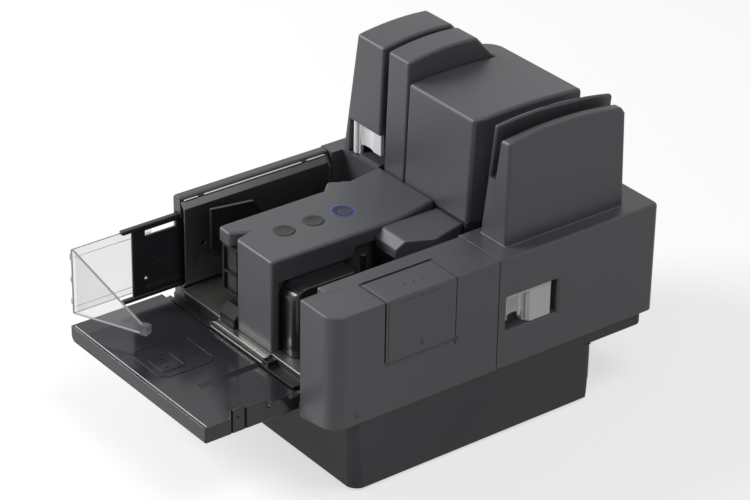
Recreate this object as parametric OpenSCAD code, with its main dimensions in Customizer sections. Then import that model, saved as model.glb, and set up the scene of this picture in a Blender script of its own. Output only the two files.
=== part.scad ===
/* [Body] */
// Width of the body
body_w = 264; // [258:1:270]
// Depth of the body from the front cover to the rear
body_d = 358; // [354:1:370]
// Height of the flat top above the table
body_top = 180; // [178:1:186]
// Wall of the moulded covers
wall = 3; // [2.5:0.1:3.2]
// Seam between neighbouring covers
seam = 0.7; // [0.5:0.1:1]
// Radius of the tall front corner
front_corner_r = 15; // [8:1:20]
// Radius of the outer rear corners
rear_corner_r = 6; // [3:0.5:8]

/* [Base] */
// Height of the underside of the body above the table
base_top = 72; // [70:1:72]
// Width of the base at its foot
base_w = 256; // [240:1:258]
// Setback of the base foot behind the front cover
base_front = 26; // [25:1:34]
// Length of the base at its foot
base_d = 261; // [240:1:265]
// Outward draft of each base side from foot to body
base_draft = 2.5; // [1:0.1:3]
// Draft of the base front and rear from foot to body
base_end_draft = 5; // [3:0.1:6]
// Radius of the base corners
base_corner_r = 12; // [8:0.5:18]
// Height of the ledge under the rear overhang
ledge_h = 12; // [10:0.5:16]
// Setback of that ledge in front of the rear of the body
ledge_setback = 11; // [8:0.5:16]
// Height of the rubber feet
foot_h = 2.5; // [2:0.1:4]
// Diameter of the rubber feet
foot_d = 18; // [12:0.5:24]

/* [Track] */
// Height of the paper floor
floor_z = 90; // [89.5:0.1:91]
// Sheet thickness of the steel floors
sheet_t = 1.5; // [1:0.1:1.8]
// Thickness of the transport deck
deck_t = 3; // [2.5:0.1:3.2]
// Width of the paper track
track_w = 7; // [6.6:0.1:7.4]
// Inset of the middle of each track from the side of the body
track_inset = 67; // [66.5:0.1:68]
// Offset of the middle of the tracks to the right
track_shift = 4.6; // [4:0.1:5]
// Front of the centre block and of both towers
block_front = 195; // [194:0.5:196]
// Depth of the centre block
block_d = 123; // [120:0.5:125]
// Radius of the turn around the rear of the core
turn_r = 24; // [18:0.5:28]

/* [Centre block] */
// Height of the crowned block above the table
block_top = 281; // [260:1:288]
// Radius of the crown of the block
block_crown_r = 620; // [400:5:900]
// Lean of the tall fronts, back from the flat top to the crown
front_lean = 3.6; // [1:0.1:5]
// Width of the raised strip beside the left track
strip_w = 29.4; // [26:0.1:34]
// Height of the strip and of the left tower above the table
strip_top = 303.4; // [292:0.2:310]
// Radius of the crown of the strip and of the left tower
strip_crown_r = 270; // [220:5:400]
// Place of the crowns behind the block front
crown_place = 55; // [48:1:60]
// Depth of the raised strip at its crown
strip_d = 79; // [70:1:90]
// Length of the slope behind the crown of the strip
rear_slope = 20; // [10:1:25]
// Width of the bevelled corner toward the right track
bevel_w = 3.9; // [2:0.1:5]
// Depth of the bevelled corner toward the right track
bevel_d = 16; // [10:0.5:20]
// Radius of the rear left corner of the block
block_corner_r = 17; // [10:0.5:22]

/* [Left carriage] */
// Place of the seam on the left wall
left_seam_y = 180; // [178:0.5:182]
// Width of the left tower at its foot
left_tower_w = 53.5; // [52:0.5:56]
// Inward draft of its outer side up to the crown
left_draft = 15.5; // [10:0.5:18]
// Width of the lever window
left_window_w = 45; // [44:0.5:46]
// Height of the lever window
left_window_h = 33; // [30:0.5:36]
// Depth of the lever window
left_window_d = 20; // [18:0.5:22]
// Swing of the lever plate away from its hub
left_lever_l = 36; // [32:0.5:38]

/* [Right carriage] */
// Place of the seam on the right side
right_seam_y = 176; // [174:0.5:178]
// Inset of the right tower from the right side
tower_inset = 16.2; // [14:0.1:18]
// Gap between the centre block and the foot of the right tower
tower_gap = 15; // [13:0.1:15.6]
// Depth of the right tower
right_tower_d = 134; // [126:1:138]
// Height of the outer fin above the table
outer_fin_top = 281; // [272:1:286]
// Height of the inner fin above the table
inner_fin_top = 289.5; // [284:0.5:296]
// Radius of the crown of the fins
fin_crown_r = 375; // [300:5:500]
// Width of the card slot
slot_w = 7.4; // [6:0.1:8]
// Height of the floor of the card slot
slot_floor = 236.5; // [225:0.5:245]
// Length of the window of the side lever
side_window_l = 57.5; // [52:0.5:60]
// Height of that window
side_window_h = 34.4; // [30:0.2:36]
// Height of its lower edge above the table
side_window_z = 107.6; // [104:0.2:112]
// Depth of that window
side_window_d = 15; // [12:0.5:18]
// Travel of the side lever
side_lever_travel = 6; // [4:0.1:6.5]

/* [Hopper] */
// Width of the left wall
left_wall_w = 17; // [16.8:0.1:17.6]
// Setback of the left wall behind the front cover
left_wall_front = 19; // [18.5:0.1:20]
// Width of the top rim of the left wall
rim_w = 11; // [10.6:0.1:11.4]
// Place of the pusher face, from the left side of the body
pusher_place = 37.2; // [36:0.1:38]
// Travel of the pusher
pusher_travel = 32; // [25:0.5:32]
// Diameter of the pusher rod
pusher_rod_d = 5; // [4:0.1:5.5]

/* [Control panel] */
// Width of the panel front
panel_w = 52.4; // [51:0.1:54]
// Right side of the panel, from the middle of the body
panel_right = 20.6; // [19:0.1:21]
// Place of the panel front
panel_front = 17; // [16.8:0.1:17.6]
// Width of the nose that overhangs the hopper
nose_w = 27.8; // [26.5:0.1:28.5]
// Depth of the panel skirt
skirt_h = 13.4; // [12:0.1:15]
// Place where the ramp begins
ramp_fold = 152.3; // [148:0.1:156]
// Rise of the ramp
ramp_rise = 4; // [2:0.1:5]
// Diameter of the buttons
button_d = 18.6; // [16:0.1:20]
// Spacing of the buttons
button_pitch = 31.3; // [28:0.1:32]
// Travel of the buttons
button_travel = 0.9; // [0.5:0.1:1.2]

/* [Front cover] */
// Width of the right front cover
cover_w = 47.6; // [47:0.1:49]
// Front edge of the hatch
hatch_y = 56.7; // [50:0.1:60]
// Length of the hatch
hatch_l = 73; // [68:0.5:76]
// Width of the hatch top
hatch_w = 36.5; // [35:0.1:37]
// Height of the hatch side
hatch_h = 59; // [54:0.5:62]
// Height of the finger scoop under the hatch
scoop_h = 7; // [4:0.5:9]
// Swing of the hatch
hatch_swing = 100; // [60:5:110]

/* [Tray] */
// Reach of the open tray in front of the front cover
tray_reach = 91.5; // [90.5:0.5:94]
// Width of the tray
tray_w = 210; // [206:0.5:212]
// Thickness of the tray
tray_t = 14.7; // [13:0.1:15]
// Step from the tray up to the paper floor
tray_step = 7; // [6.6:0.1:8]
// Radius of the lower left corner of the tray
tray_corner_r = 7; // [4:0.5:8]

/* [Guides] */
// Height of the sliding guide plate
plate_h = 73.4; // [72:0.1:73.8]
// Reach of the guide rails in front of the front cover
rail_reach = 41.5; // [38:0.5:43]
// Length of the guide rails
rail_l = 130; // [118:1:134]
// Travel of the guide plate
plate_travel = 60; // [50:0.5:60]
// Reach of the clear end guide in front of the front cover
clear_reach = 90.5; // [88:0.5:91]
// Length of the clear side panel
clear_l = 83; // [76:1:88]
// Thickness of the clear plastic
clear_t = 2; // [1.6:0.1:2.1]
// Length of the clear wing
wing_l = 76; // [68:0.5:76]
// Angle of the clear wing
wing_angle = 25; // [20:0.5:26]
// Travel of the clear guide along the plate
clear_travel = 40; // [36:0.5:40]

/* [Drive] */
// Radius of the driven rubber rollers
drive_r = 9; // [8.5:0.1:9.5]
// Radius of the pressure rollers
pinch_r = 7; // [6:0.1:7.5]
// Height of each rubber tyre
tyre_h = 14; // [10:0.5:16]
// Diameter of the roller shafts
shaft_d = 5; // [4:0.1:5.5]
// Radius of the belt pulleys
pulley_r = 6; // [5:0.1:6.4]
// Thickness of the belt
belt_t = 1.2; // [1:0.1:1.4]
// Diameter of the carriage hinge pins
hinge_d = 8; // [6:0.1:9]

/* [Hidden] */

$fn = 48;
over = 1;
touch = 0.3;
run_fit = 0.05;
slide_gap = 0.4;
half_w = body_w / 2;
left_x = -half_w;
place_y = (body_d - tray_reach) / 2;

// Shared heights
deck_top = floor_z - sheet_t;
deck_z = deck_top - deck_t;
base_bottom = foot_h;
skirt_z = body_top - skirt_h;
top_t = 3.5;
cavity_top = body_top - top_t;
core_z = floor_z + touch;
core_top = body_top - touch;
body_gap = 0.5;
carriage_z = base_top + body_gap;

// Walls of the two tracks, and the rollers a small nip apart across each track
nip = 0.3;
track_l = track_shift - half_w + track_inset;
track_r = track_shift + half_w - track_inset;
core_l = track_l + track_w / 2;
core_r = track_r - track_w / 2;
outer_l = track_l - track_w / 2;
outer_r = track_r + track_w / 2;
strip_r = core_l + strip_w;
block_rear = block_front + block_d;
turn_y = block_rear + track_w;
turn_out = turn_r + track_w;
crown_y = block_front + crown_place;
drive_lx = track_l + nip / 2 + drive_r;
drive_rx = track_r - nip / 2 - drive_r;
pinch_lx = track_l - nip / 2 - pinch_r;
pinch_rx = track_r + nip / 2 + pinch_r;
feed_y = block_front + 1.6 * drive_r;
turn_roller_y = block_rear - turn_r - 1.2 * drive_r;
pickup_y = feed_y - 11 * drive_r;
motor_y = (pickup_y + feed_y) / 2;

// Heights along the roller shafts
shaft_low = base_top + touch;
shaft_high = skirt_z - 3 * touch;
bearing_l = 6;
pocket_top = shaft_high - bearing_l;
tyre_low = floor_z + 0.8 * tyre_h;
tyre_high = pocket_top - 1.8 * tyre_h;
tyre_gap = 1.5;
hub_r = 0.8 * shaft_d;
pulley_z = shaft_low + 2;
pulley_h = 5;
belt_slack = 0.15;
belt_trim = 0.5;

// Swing axes of the two carriages, in the middle of their round inner rear edges
swing_r = 9;
hinge_lx = outer_l - swing_r;
hinge_rx = outer_r + swing_r;
hinge_y = body_d - swing_r;
hinge_sink = ledge_h / 2;
hinge_top = body_top - 3 * hinge_d;
arm_y = block_front - 0.9 * wall;

module place() {
    translate([0, -place_y, 0])
        children();
}

// A block between two corners
module slab(x0, x1, y0, y1, z0, z1) {
    translate([x0, y0, z0])
        cube([x1 - x0, y1 - y0, z1 - z0]);
}

// A plan pushed up from z0 to z1
module rise(z0, z1) {
    translate([0, 0, z0])
        linear_extrude(z1 - z0)
            children();
}

// An outline of depth and height pushed from x0 to x1
module across(x0, x1) {
    translate([x0, 0, 0])
        rotate([90, 0, 90])
            linear_extrude(x1 - x0)
                children();
}

// An outline of width and height pushed from y0 to y1
module along(y0, y1) {
    translate([0, y1, 0])
        rotate([90, 0, 0])
            linear_extrude(y1 - y0)
                children();
}

// An upright shaft, pin or bore
module pin(x, y, z0, z1, r) {
    translate([x, y, z0])
        cylinder(h = z1 - z0, r = r);
}

// A shaft, pin or bore from x0 to x1
module cross_pin(x0, x1, y, z, r) {
    translate([x0, y, z])
        rotate([0, 90, 0])
            cylinder(h = x1 - x0, r = r);
}

// A shaft, pin or bore from y0 to y1
module long_pin(x, y0, y1, z, r) {
    translate([x, y1, z])
        rotate([90, 0, 0])
            cylinder(h = y1 - y0, r = r);
}

// What a round corner takes from a square one: sx and sy point into the body
module corner(x, y, sx, sy, r) {
    translate([x, y])
        difference() {
            translate([sx > 0 ? -over : -r, sy > 0 ? -over : -r])
                square(r + over);
            translate([sx * r, sy * r])
                circle(r, $fn = 72);
        }
}

// A rectangle from corner to corner
module plan(x0, x1, y0, y1) {
    translate([x0, y0])
        square([x1 - x0, y1 - y0]);
}

// A rectangle with one radius on all corners
module round_plan(x0, x1, y0, y1, r) {
    difference() {
        plan(x0, x1, y0, y1);
        corner(x0, y0, 1, 1, r);
        corner(x1, y0, -1, 1, r);
        corner(x0, y1, 1, -1, r);
        corner(x1, y1, -1, -1, r);
    }
}

// An outline of depth and height under a crown: its arc peaks at the place and height given
module crowned(points, peak, top, r) {
    intersection() {
        polygon(points);
        translate([peak, top - r])
            circle(r, $fn = 360);
    }
}

// Base
base_rear = base_front + base_d;
base_half = base_w / 2;
ledge_rear = body_d - ledge_setback;
base_wall = wall + base_draft;
cover_t = 2.5;
screw_r = 1.8;
screw_head_r = 3.2;
screw_head_h = 1.6;
screw_l = 9;
screw_inset = 8 * base_wall;
cover_screws = [for (x = [-1, 1], y = [base_front + screw_inset, base_rear - screw_inset])
    [x * (base_half - screw_inset), y]];

module base_housing() {
    color("#36363a")
    difference() {
        union() {
            intersection() {
                rise(base_bottom, base_top)
                    round_plan(-base_half - base_draft, base_half + base_draft,
                        base_front - base_end_draft, base_rear + base_end_draft, base_corner_r);
                along(base_front - base_end_draft, base_rear + base_end_draft)
                    polygon([[-base_half, base_bottom], [base_half, base_bottom],
                        [base_half + base_draft, base_top], [-base_half - base_draft, base_top]]);
                across(-base_half - base_draft, base_half + base_draft)
                    polygon([[base_front, base_bottom], [base_rear, base_bottom],
                        [base_rear + base_end_draft, base_top],
                        [base_front - base_end_draft, base_top]]);
            }
            rise(base_top - ledge_h, base_top)
                round_plan(-base_half - base_draft, base_half + base_draft,
                    base_rear - base_corner_r, ledge_rear, rear_corner_r);
            for (x = [hinge_lx, hinge_rx])
                pin(x, hinge_y, base_top - ledge_h, base_top, swing_r - touch);
            for (p = cover_screws)
                pin(p[0], p[1], base_bottom + cover_t + touch, base_top - wall / 2, 2 * screw_r);
        }
        difference() {
            rise(base_bottom - over, base_top - wall)
                round_plan(-base_half + base_wall, base_half - base_wall,
                    base_front + base_wall, base_rear - base_wall, base_corner_r / 2);
            for (p = cover_screws)
                pin(p[0], p[1], base_bottom + cover_t + touch, base_top, 2 * screw_r);
        }
        for (p = cover_screws)
            pin(p[0], p[1], base_bottom, base_bottom + screw_l + touch, screw_r);
        for (x = [hinge_lx, hinge_rx])
            pin(x, hinge_y, base_top - hinge_sink, base_top + over, hinge_d / 2);
        pin(drive_lx, motor_y, base_top - wall - over, base_top + over, hub_r + over);
    }
}

board_w = 110;
board_l = 90;
board_x = 20;
board_y = 80;
board_z = base_bottom + 14;
board_t = 1.6;
board_inset = 8;
board_post_r = 3.4;
motor_r = 17;
motor_h = 36;
motor_z = base_top - wall - touch - motor_h;
motor_seat = 14;
chip_w = board_w / 9;

module base_cover() {
    color("#2b2b2e")
    difference() {
        union() {
            rise(base_bottom, base_bottom + cover_t)
                round_plan(-base_half + base_wall + touch, base_half - base_wall - touch,
                    base_front + base_wall + touch, base_rear - base_wall - touch,
                    base_corner_r / 2);
            for (x = [-1, 1], y = [-1, 1])
                pin(board_x + x * (board_w / 2 - board_inset), board_y + y * (board_l / 2 - board_inset),
                    base_bottom + cover_t - touch, board_z, board_post_r);
            rise(base_bottom + cover_t - touch, motor_z)
                round_plan(drive_lx - motor_seat, drive_lx + motor_seat,
                    motor_y - motor_seat, motor_y + motor_seat, shaft_d);
        }
        for (p = cover_screws)
            pin(p[0], p[1], base_bottom - over, base_bottom + cover_t + over, screw_r + run_fit);
    }
}

module rubber_feet() {
    color("#1a1a1b")
    for (x = [-1, 1], y = [base_front + foot_d, base_rear - foot_d])
        pin(x * (base_half - foot_d - base_wall), y + base_wall * (y < body_d / 2 ? 1 : -1),
            0, foot_h, foot_d / 2);
}

module base_screws() {
    color("#8d8f92")
    for (p = cover_screws) {
        pin(p[0], p[1], base_bottom - screw_head_h, base_bottom, screw_head_r);
        pin(p[0], p[1], base_bottom - touch, base_bottom + screw_l, screw_r);
    }
}

module drive_motor() {
    color("#8a8c90")
    difference() {
        union() {
            pin(drive_lx, motor_y, motor_z, motor_z + motor_h, motor_r);
            pin(drive_lx, motor_y, motor_z + motor_h - touch, base_top, hub_r);
        }
        pin(drive_lx, motor_y, motor_z + motor_h / 2 - run_fit, base_top + over, shaft_d / 2 + run_fit);
    }
}

module control_board() {
    color("#2d6a3f")
    union() {
        slab(board_x - board_w / 2, board_x + board_w / 2, board_y - board_l / 2, board_y + board_l / 2,
            board_z, board_z + board_t);
        for (i = [-1:1])
            slab(board_x + (2 * i - 0.5) * chip_w, board_x + (2 * i + 0.5) * chip_w,
                board_y - chip_w, board_y + 0.3 * i * chip_w,
                board_z + board_t / 2, board_z + 2 * board_t);
        slab(board_x - 3 * chip_w, board_x + 3 * chip_w, board_y + 2 * chip_w,
            board_y + 2.6 * chip_w, board_z + board_t / 2, board_z + 5 * board_t);
    }
}

// Transport deck: carries the floors, the cores and the shafts
deck_l = left_x + left_wall_w + touch;
cover_x = half_w - cover_w;
cover_step = 8;
cover_step_y = 24.2;
inner_x = cover_x - cover_step;
deck_r = inner_x - touch;
deck_front = panel_front;
deck_arm_y = arm_y - touch;
rib_t = 3;
shafts = [[drive_lx, pickup_y], [drive_lx, feed_y], [drive_lx, turn_roller_y],
    [drive_rx, turn_roller_y], [drive_rx, feed_y]];
pusher_t = 2.5;
pusher_x = left_x + pusher_place - pusher_t;
pusher_foot_y = 121;
pusher_foot_w = 12;
rod_z = deck_z - pusher_rod_d;
rod_end = 7.7;
lug_t = 2;
slider_w = 12;
rod_left = deck_l;
rod_right = pusher_x + pusher_t + pusher_travel + 0.6 * lug_t;

// The slot in which the pusher foot travels
module pusher_slot() {
    slab(pusher_x - over, pusher_x + pusher_t + pusher_travel + over,
        pusher_foot_y - pusher_foot_w / 2 - over, pusher_foot_y + pusher_foot_w / 2 + over,
        deck_z - over, floor_z + over);
}

module transport_deck() {
    color("#4a4b4e")
    difference() {
        union() {
            slab(deck_l, deck_r, deck_front, right_seam_y - seam, deck_z, deck_top);
            slab(deck_l, outer_l + over, right_seam_y - seam - touch, deck_arm_y, deck_z, deck_top);
            rise(deck_z, floor_z)
                difference() {
                    plan(outer_l + over, outer_r - over, deck_arm_y - touch, turn_y - touch);
                    corner(outer_l + over, turn_y - touch, 1, -1, turn_out);
                    corner(outer_r - over, turn_y - touch, -1, -1, turn_out);
                }
            slab(outer_l + over - touch, outer_r - over, right_seam_y - seam - touch, deck_arm_y,
                deck_z, deck_top);
            // Ribs down to the base
            slab(deck_l, deck_r, base_front, base_front + rib_t, base_top, deck_z + over);
            slab(outer_l + turn_out, outer_r - turn_out, turn_y - touch - rib_t, turn_y - touch,
                base_top, deck_z + over);
            slab(0, rib_t, feed_y, turn_roller_y - 2 * pulley_r, base_top, deck_z + over);
            slab(panel_right, panel_right + rib_t, base_front, pickup_y, base_top, deck_z + over);
            // Lugs of the pusher rod
            for (x = [rod_left, rod_right])
                slab(x, x + lug_t, pusher_foot_y - pusher_rod_d, pusher_foot_y + pusher_rod_d,
                    rod_z - pusher_rod_d, deck_z + over);
        }
        for (s = shafts)
            pin(s[0], s[1], deck_z - over, floor_z + over, shaft_d / 2 + run_fit);
        pusher_slot();
        cross_pin(rod_left - over, rod_right + lug_t + over, pusher_foot_y, rod_z,
            pusher_rod_d / 2 + run_fit);
    }
}

lip_y = 8.2;
lip_left = -53;
core_gate = core_l + wall;

module hopper_floor() {
    color("#6b675f")
    difference() {
        rise(deck_top, floor_z)
            polygon([[deck_l, panel_front], [lip_left, panel_front], [lip_left, lip_y],
                [panel_right, lip_y], [panel_right, right_seam_y - seam],
                [core_r, right_seam_y - seam], [core_r, deck_arm_y - touch],
                [deck_l, deck_arm_y - touch]]);
        pusher_slot();
        for (s = shafts)
            pin(s[0], s[1], deck_z - over, floor_z + over, shaft_d / 2 + over);
    }
}

module pocket_floor() {
    color("#77736b")
    rise(deck_top, floor_z)
        polygon([[panel_right + touch, panel_front], [cover_x - touch, panel_front],
            [cover_x - touch, cover_step_y - seam], [deck_r, cover_step_y - seam],
            [deck_r, right_seam_y - seam - touch], [panel_right + touch, right_seam_y - seam - touch]]);
}

// Tray hinge: an arm at each end of the tray turns on a pin held by the sill
tray_top = floor_z - tray_step;
tray_bottom = tray_top - tray_t;
tray_rear = 5;
tray_right = left_x + tray_w;
tray_skin = 2.5;
arm_w = 8;
arm_r = 4.2;
tray_axis_y = 10.6;
tray_axis_z = tray_bottom + 8;
tray_pin_r = 2;
tray_pin_l = 16;
arm_left = left_x + wall;
arm_right = tray_right - wall - arm_w;
sill_front = tray_rear + 1.2;
lip_ribs = 3;
lip_rib_w = 0.8;

module sill_pins(r, slack) {
    cross_pin(arm_left + touch - slack, arm_left + tray_pin_l, tray_axis_y, tray_axis_z, r);
    cross_pin(arm_right + arm_w - tray_pin_l, arm_right + arm_w - touch + slack, tray_axis_y,
        tray_axis_z, r);
}

module front_sill() {
    color("#1c1c1e")
    difference() {
        union() {
            slab(arm_left + arm_w + touch, arm_right - touch, sill_front, deck_front - touch,
                base_top, tray_top);
            slab(arm_right - 2 * touch, cover_x - touch, tray_axis_y + arm_r + 2 * touch,
                deck_front - touch, base_top, tray_top);
            slab(arm_left, arm_left + arm_w + over, tray_axis_y + arm_r + 2 * touch,
                deck_front - touch, base_top, tray_top);
            slab(lip_left - arm_w, panel_right + arm_w, lip_y - lip_rib_w - touch, deck_front - touch,
                tray_top - over, deck_top - touch);
            slab(deck_l, deck_r, deck_front - 2 * touch, base_front - touch, base_top,
                deck_z - touch);
            for (i = [0:lip_ribs - 1])
                slab(lip_left - arm_w, panel_right + arm_w, sill_front + 2 * i * lip_rib_w / 2,
                    sill_front + (i + 0.5) * lip_rib_w, tray_top - over,
                    tray_top + (i + 1) * lip_rib_w);
        }
        sill_pins(tray_pin_r, touch);
    }
}

module tray_pins() {
    color("#b9bbbe")
    sill_pins(tray_pin_r, 0);
}

// The latch rail on the right side of the tray
latch_y = -66;
latch_l = 15.5;
latch_rise = 8;
latch_rail_l = 22;
low_rail_y = -24.5;
low_rail_l = 18.5;
latch_w = 3;
panel_drop = 2;
bevel_x = 15;
bevel_y = -58;
slope_w = 5;

module tray_outline() {
    difference() {
        plan(left_x, tray_right, -tray_reach, tray_rear);
        corner(left_x, -tray_reach, 1, 1, tray_corner_r / 4);
        corner(tray_right, -tray_reach, -1, 1, tray_corner_r / 4);
    }
}

// The round lower left corner of the tray
module tray_round() {
    along(-tray_reach - over, tray_rear + over)
        corner(left_x, tray_bottom, 1, 1, tray_corner_r);
}

module tray_cover() {
    color("#45464a")
    difference() {
        union() {
            difference() {
                rise(tray_bottom, tray_top)
                    tray_outline();
                tray_round();
                // The lower right rear part, with the slope on its left side
                along(bevel_y, tray_rear + over)
                    polygon([[bevel_x - slope_w / 2, tray_top + over], [bevel_x, tray_top],
                        [bevel_x + slope_w, tray_top - panel_drop],
                        [tray_right + over, tray_top - panel_drop],
                        [tray_right + over, tray_top + over]]);
                slab(left_x + tray_skin, tray_right - tray_skin, tray_skin - tray_reach,
                    tray_rear - tray_skin, tray_bottom - over, tray_top - tray_skin - panel_drop);
            }
            slab(tray_right - latch_w, tray_right, latch_y, latch_y + latch_l,
                tray_top - panel_drop - over, tray_top + latch_rise);
            slab(tray_right - latch_w, tray_right, latch_y + latch_l - touch,
                latch_y + latch_l + latch_rail_l, tray_top - panel_drop - over,
                tray_top + 2 / 3 * latch_rise);
            slab(tray_right - latch_w, tray_right, low_rail_y, low_rail_y + low_rail_l,
                tray_top - panel_drop - over, tray_top + 0.3 * latch_rise);
            for (x = [arm_left, arm_right]) {
                cross_pin(x, x + arm_w, tray_axis_y, tray_axis_z, arm_r);
                slab(x, x + arm_w, tray_rear - over, tray_axis_y, tray_axis_z - arm_r,
                    tray_axis_z + arm_r);
            }
        }
        sill_pins(tray_pin_r + run_fit, over);
        cross_pin(tray_right - latch_w / 2, tray_right + over, latch_y + latch_l / 2,
            tray_top, latch_w / 3);
    }
}

module tray_plate() {
    color("#26262a")
    difference() {
        slab(left_x + tray_skin + touch, tray_right - tray_skin - touch,
            tray_skin + touch - tray_reach, tray_rear - tray_skin - touch, tray_bottom,
            tray_bottom + tray_skin);
        tray_round();
    }
}

// Left wall: a hollow cover that the two guides slide into
skin_t = 2.4;
rail_w = 4.6;
rail_h = 3.4;
rail_x = left_x + 5;
plate_z = floor_z + 1;
plate_top = plate_z + plate_h;
rim_z = plate_top + slide_gap;
liner_x = left_x + left_wall_w;
liner_t = 2;
lip_h = 4;
edge_r = 1.5;
hook_t = 1;

module left_wall_cover() {
    color("#4b4c50")
    union() {
        along(left_wall_front, left_seam_y)
            polygon([[left_x, base_top + touch], [liner_x, base_top + touch],
                [liner_x, plate_z - slide_gap], [left_x + skin_t, plate_z - slide_gap],
                [left_x + skin_t, rim_z], [left_x + rim_w - hook_t, rim_z],
                [left_x + rim_w - hook_t, rim_z - lip_h], [left_x + rim_w, rim_z - lip_h],
                [left_x + rim_w, body_top - edge_r], [left_x + rim_w - edge_r, body_top],
                [left_x + edge_r, body_top], [left_x, body_top - edge_r]]);
        along(left_seam_y - wall, left_seam_y)
            polygon([[left_x, base_top + touch], [liner_x, base_top + touch],
                [liner_x, skirt_z], [left_x + rim_w, body_top - 2 * edge_r],
                [left_x, body_top - 2 * edge_r]]);
    }
}

liner_top = body_top - 3.5;
liner_flare = 5;
liner_hole = [39, 132];

module hopper_liner() {
    color("#55524c")
    difference() {
        along(left_wall_front + touch, left_seam_y - wall - touch)
            polygon([[liner_x - liner_flare - liner_t, plate_z], [liner_x - liner_t, plate_z + liner_flare],
                [liner_x - liner_t, liner_top - 1.3 * liner_flare],
                [left_x + rim_w + touch, liner_top - liner_t],
                [left_x + rim_w + touch, liner_top], [left_x + rim_w + liner_t, liner_top],
                [liner_x, liner_top - 1.1 * liner_flare], [liner_x, plate_z + liner_flare - liner_t / 2],
                [liner_x - liner_flare + liner_t / 2, plate_z]]);
        cross_pin(liner_x - 2 * liner_t, liner_x + over, liner_hole[0], liner_hole[1], liner_t);
    }
}

strip_t = 0.8;
strip_cuts = [[21.8, 36.8], [43, 150], [155, 175.7]];

module liner_strip() {
    color("#d8d0cc")
    union() {
        for (s = strip_cuts)
            slab(left_x + rim_w + touch, left_x + rim_w + liner_t, s[0], s[1],
                liner_top + touch, liner_top + touch + strip_t);
        slab(left_x + rim_w + touch, left_x + rim_w + liner_t / 2, strip_cuts[0][0], strip_cuts[2][1],
            liner_top + touch, liner_top + touch + strip_t);
    }
}

// Pusher: a plate whose foot rides on a rod under the floor
pusher_front = 33.6;
pusher_top = body_top - 4;
pusher_low = floor_z + 12;
pusher_l = 98.4;
pusher_shares = [[0, 0.473], [0, 1], [0.461, 0.932], [0.573, 0.73], [0.715, 0.405], [1, 0.162],
    [1, 0], [0.339, 0], [0.187, 0.23]];

module pusher() {
    color("#2a2b2e")
    difference() {
        union() {
            across(pusher_x, pusher_x + pusher_t)
                polygon([for (share = pusher_shares) [pusher_front + share.x * pusher_l,
                    pusher_low + share.y * (pusher_top - pusher_low)]]);
            slab(pusher_x, pusher_x + pusher_t, pusher_foot_y - pusher_foot_w / 2,
                pusher_foot_y + pusher_foot_w / 2, rod_z - pusher_rod_d, pusher_low + over);
            slab(pusher_x + pusher_t - slider_w, pusher_x + pusher_t,
                pusher_foot_y - pusher_foot_w / 2, pusher_foot_y + pusher_foot_w / 2,
                rod_z - pusher_rod_d, deck_z - slide_gap);
        }
        cross_pin(pusher_x - slider_w, pusher_x + pusher_t + over, pusher_foot_y, rod_z,
            pusher_rod_d / 2 + run_fit);
    }
}

module pusher_rod() {
    color("#b9bbbe")
    cross_pin(rod_left, rod_right + lug_t, pusher_foot_y, rod_z, pusher_rod_d / 2);
}

// Feed core: the housing under the panel, with the pickup roller in its left wall
panel_left = panel_right - panel_w;
nose_left = panel_left - nose_w;
nose_back = 21;
feed_rear = block_front - touch;
roller_room = 1.5;
front_wall = 7.5;
core_side = 4;
core_wall_r = panel_right - core_side;

module roller_bores(x, ys, top) {
    for (y = ys) {
        pin(x, y, core_z - over, pocket_top, drive_r + roller_room);
        pin(x, y, core_z - over, top, shaft_d / 2 + run_fit);
    }
}

module feed_core() {
    color("#3f4044")
    difference() {
        rise(core_z, skirt_z - touch)
            polygon([[panel_left, panel_front + front_wall + touch],
                [core_wall_r, panel_front + front_wall + touch], [core_wall_r, feed_rear],
                [core_l, feed_rear], [core_l, panel_front + nose_back],
                [panel_left, panel_front + nose_back]]);
        slab(drive_lx + drive_r + roller_room + wall, core_wall_r - wall,
            panel_front + front_wall + wall, feed_rear - wall, core_z - over, pocket_top);
        slab(core_l + wall, drive_lx + drive_r + roller_room + wall + over,
            panel_front + nose_back + wall, pickup_y - drive_r - roller_room - wall,
            core_z - over, pocket_top);
        slab(core_l + wall, drive_lx + drive_r + roller_room + wall + over,
            pickup_y + drive_r + roller_room + wall, feed_rear - wall, core_z - over, pocket_top);
        roller_bores(drive_lx, [pickup_y], skirt_z);
    }
}

post_foot_h = 17;
post_w = 22;
post_reach = 3;
post_front = panel_front - post_reach;
post_z = floor_z + 30;

module separator_post() {
    color("#161617")
    union() {
        across(panel_left - post_w, panel_left - touch)
            polygon([[post_front, core_z], [panel_front + nose_back - touch, core_z],
                [panel_front + nose_back - touch, core_z + post_foot_h],
                [post_front + post_foot_h / 2, core_z + post_foot_h],
                [post_front, core_z + post_foot_h / 2]]);
        slab(panel_left - 0.9 * post_w, panel_left - touch, panel_front + nose_back / 2,
            panel_front + nose_back - touch, core_z, skirt_z - touch);
        slab(panel_left - 1.09 * post_w, panel_left - 4 * touch, post_front + 4 * touch + post_reach,
            panel_front + nose_back / 2 + over, post_z, skirt_z - touch);
    }
}

// Control panel with its ramp
button_x = (nose_left + panel_right) / 2;
button_y = panel_front + 41.8;
button_hole_r = button_d / 2 + 0.4;
button_proud = 0.6;
ring_r = button_hole_r + 0.8;
ring_t = 1.2;
nose_tip = 16.6;
notch_d = 14.6;
notch_x = 4.4;
wing_y = 130.5;
wing_out = 12;
nose_wing_l = 30;
ramp_left = nose_left - 2.4;
ramp_right = panel_right - 3.2;
side_l = 89;

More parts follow.
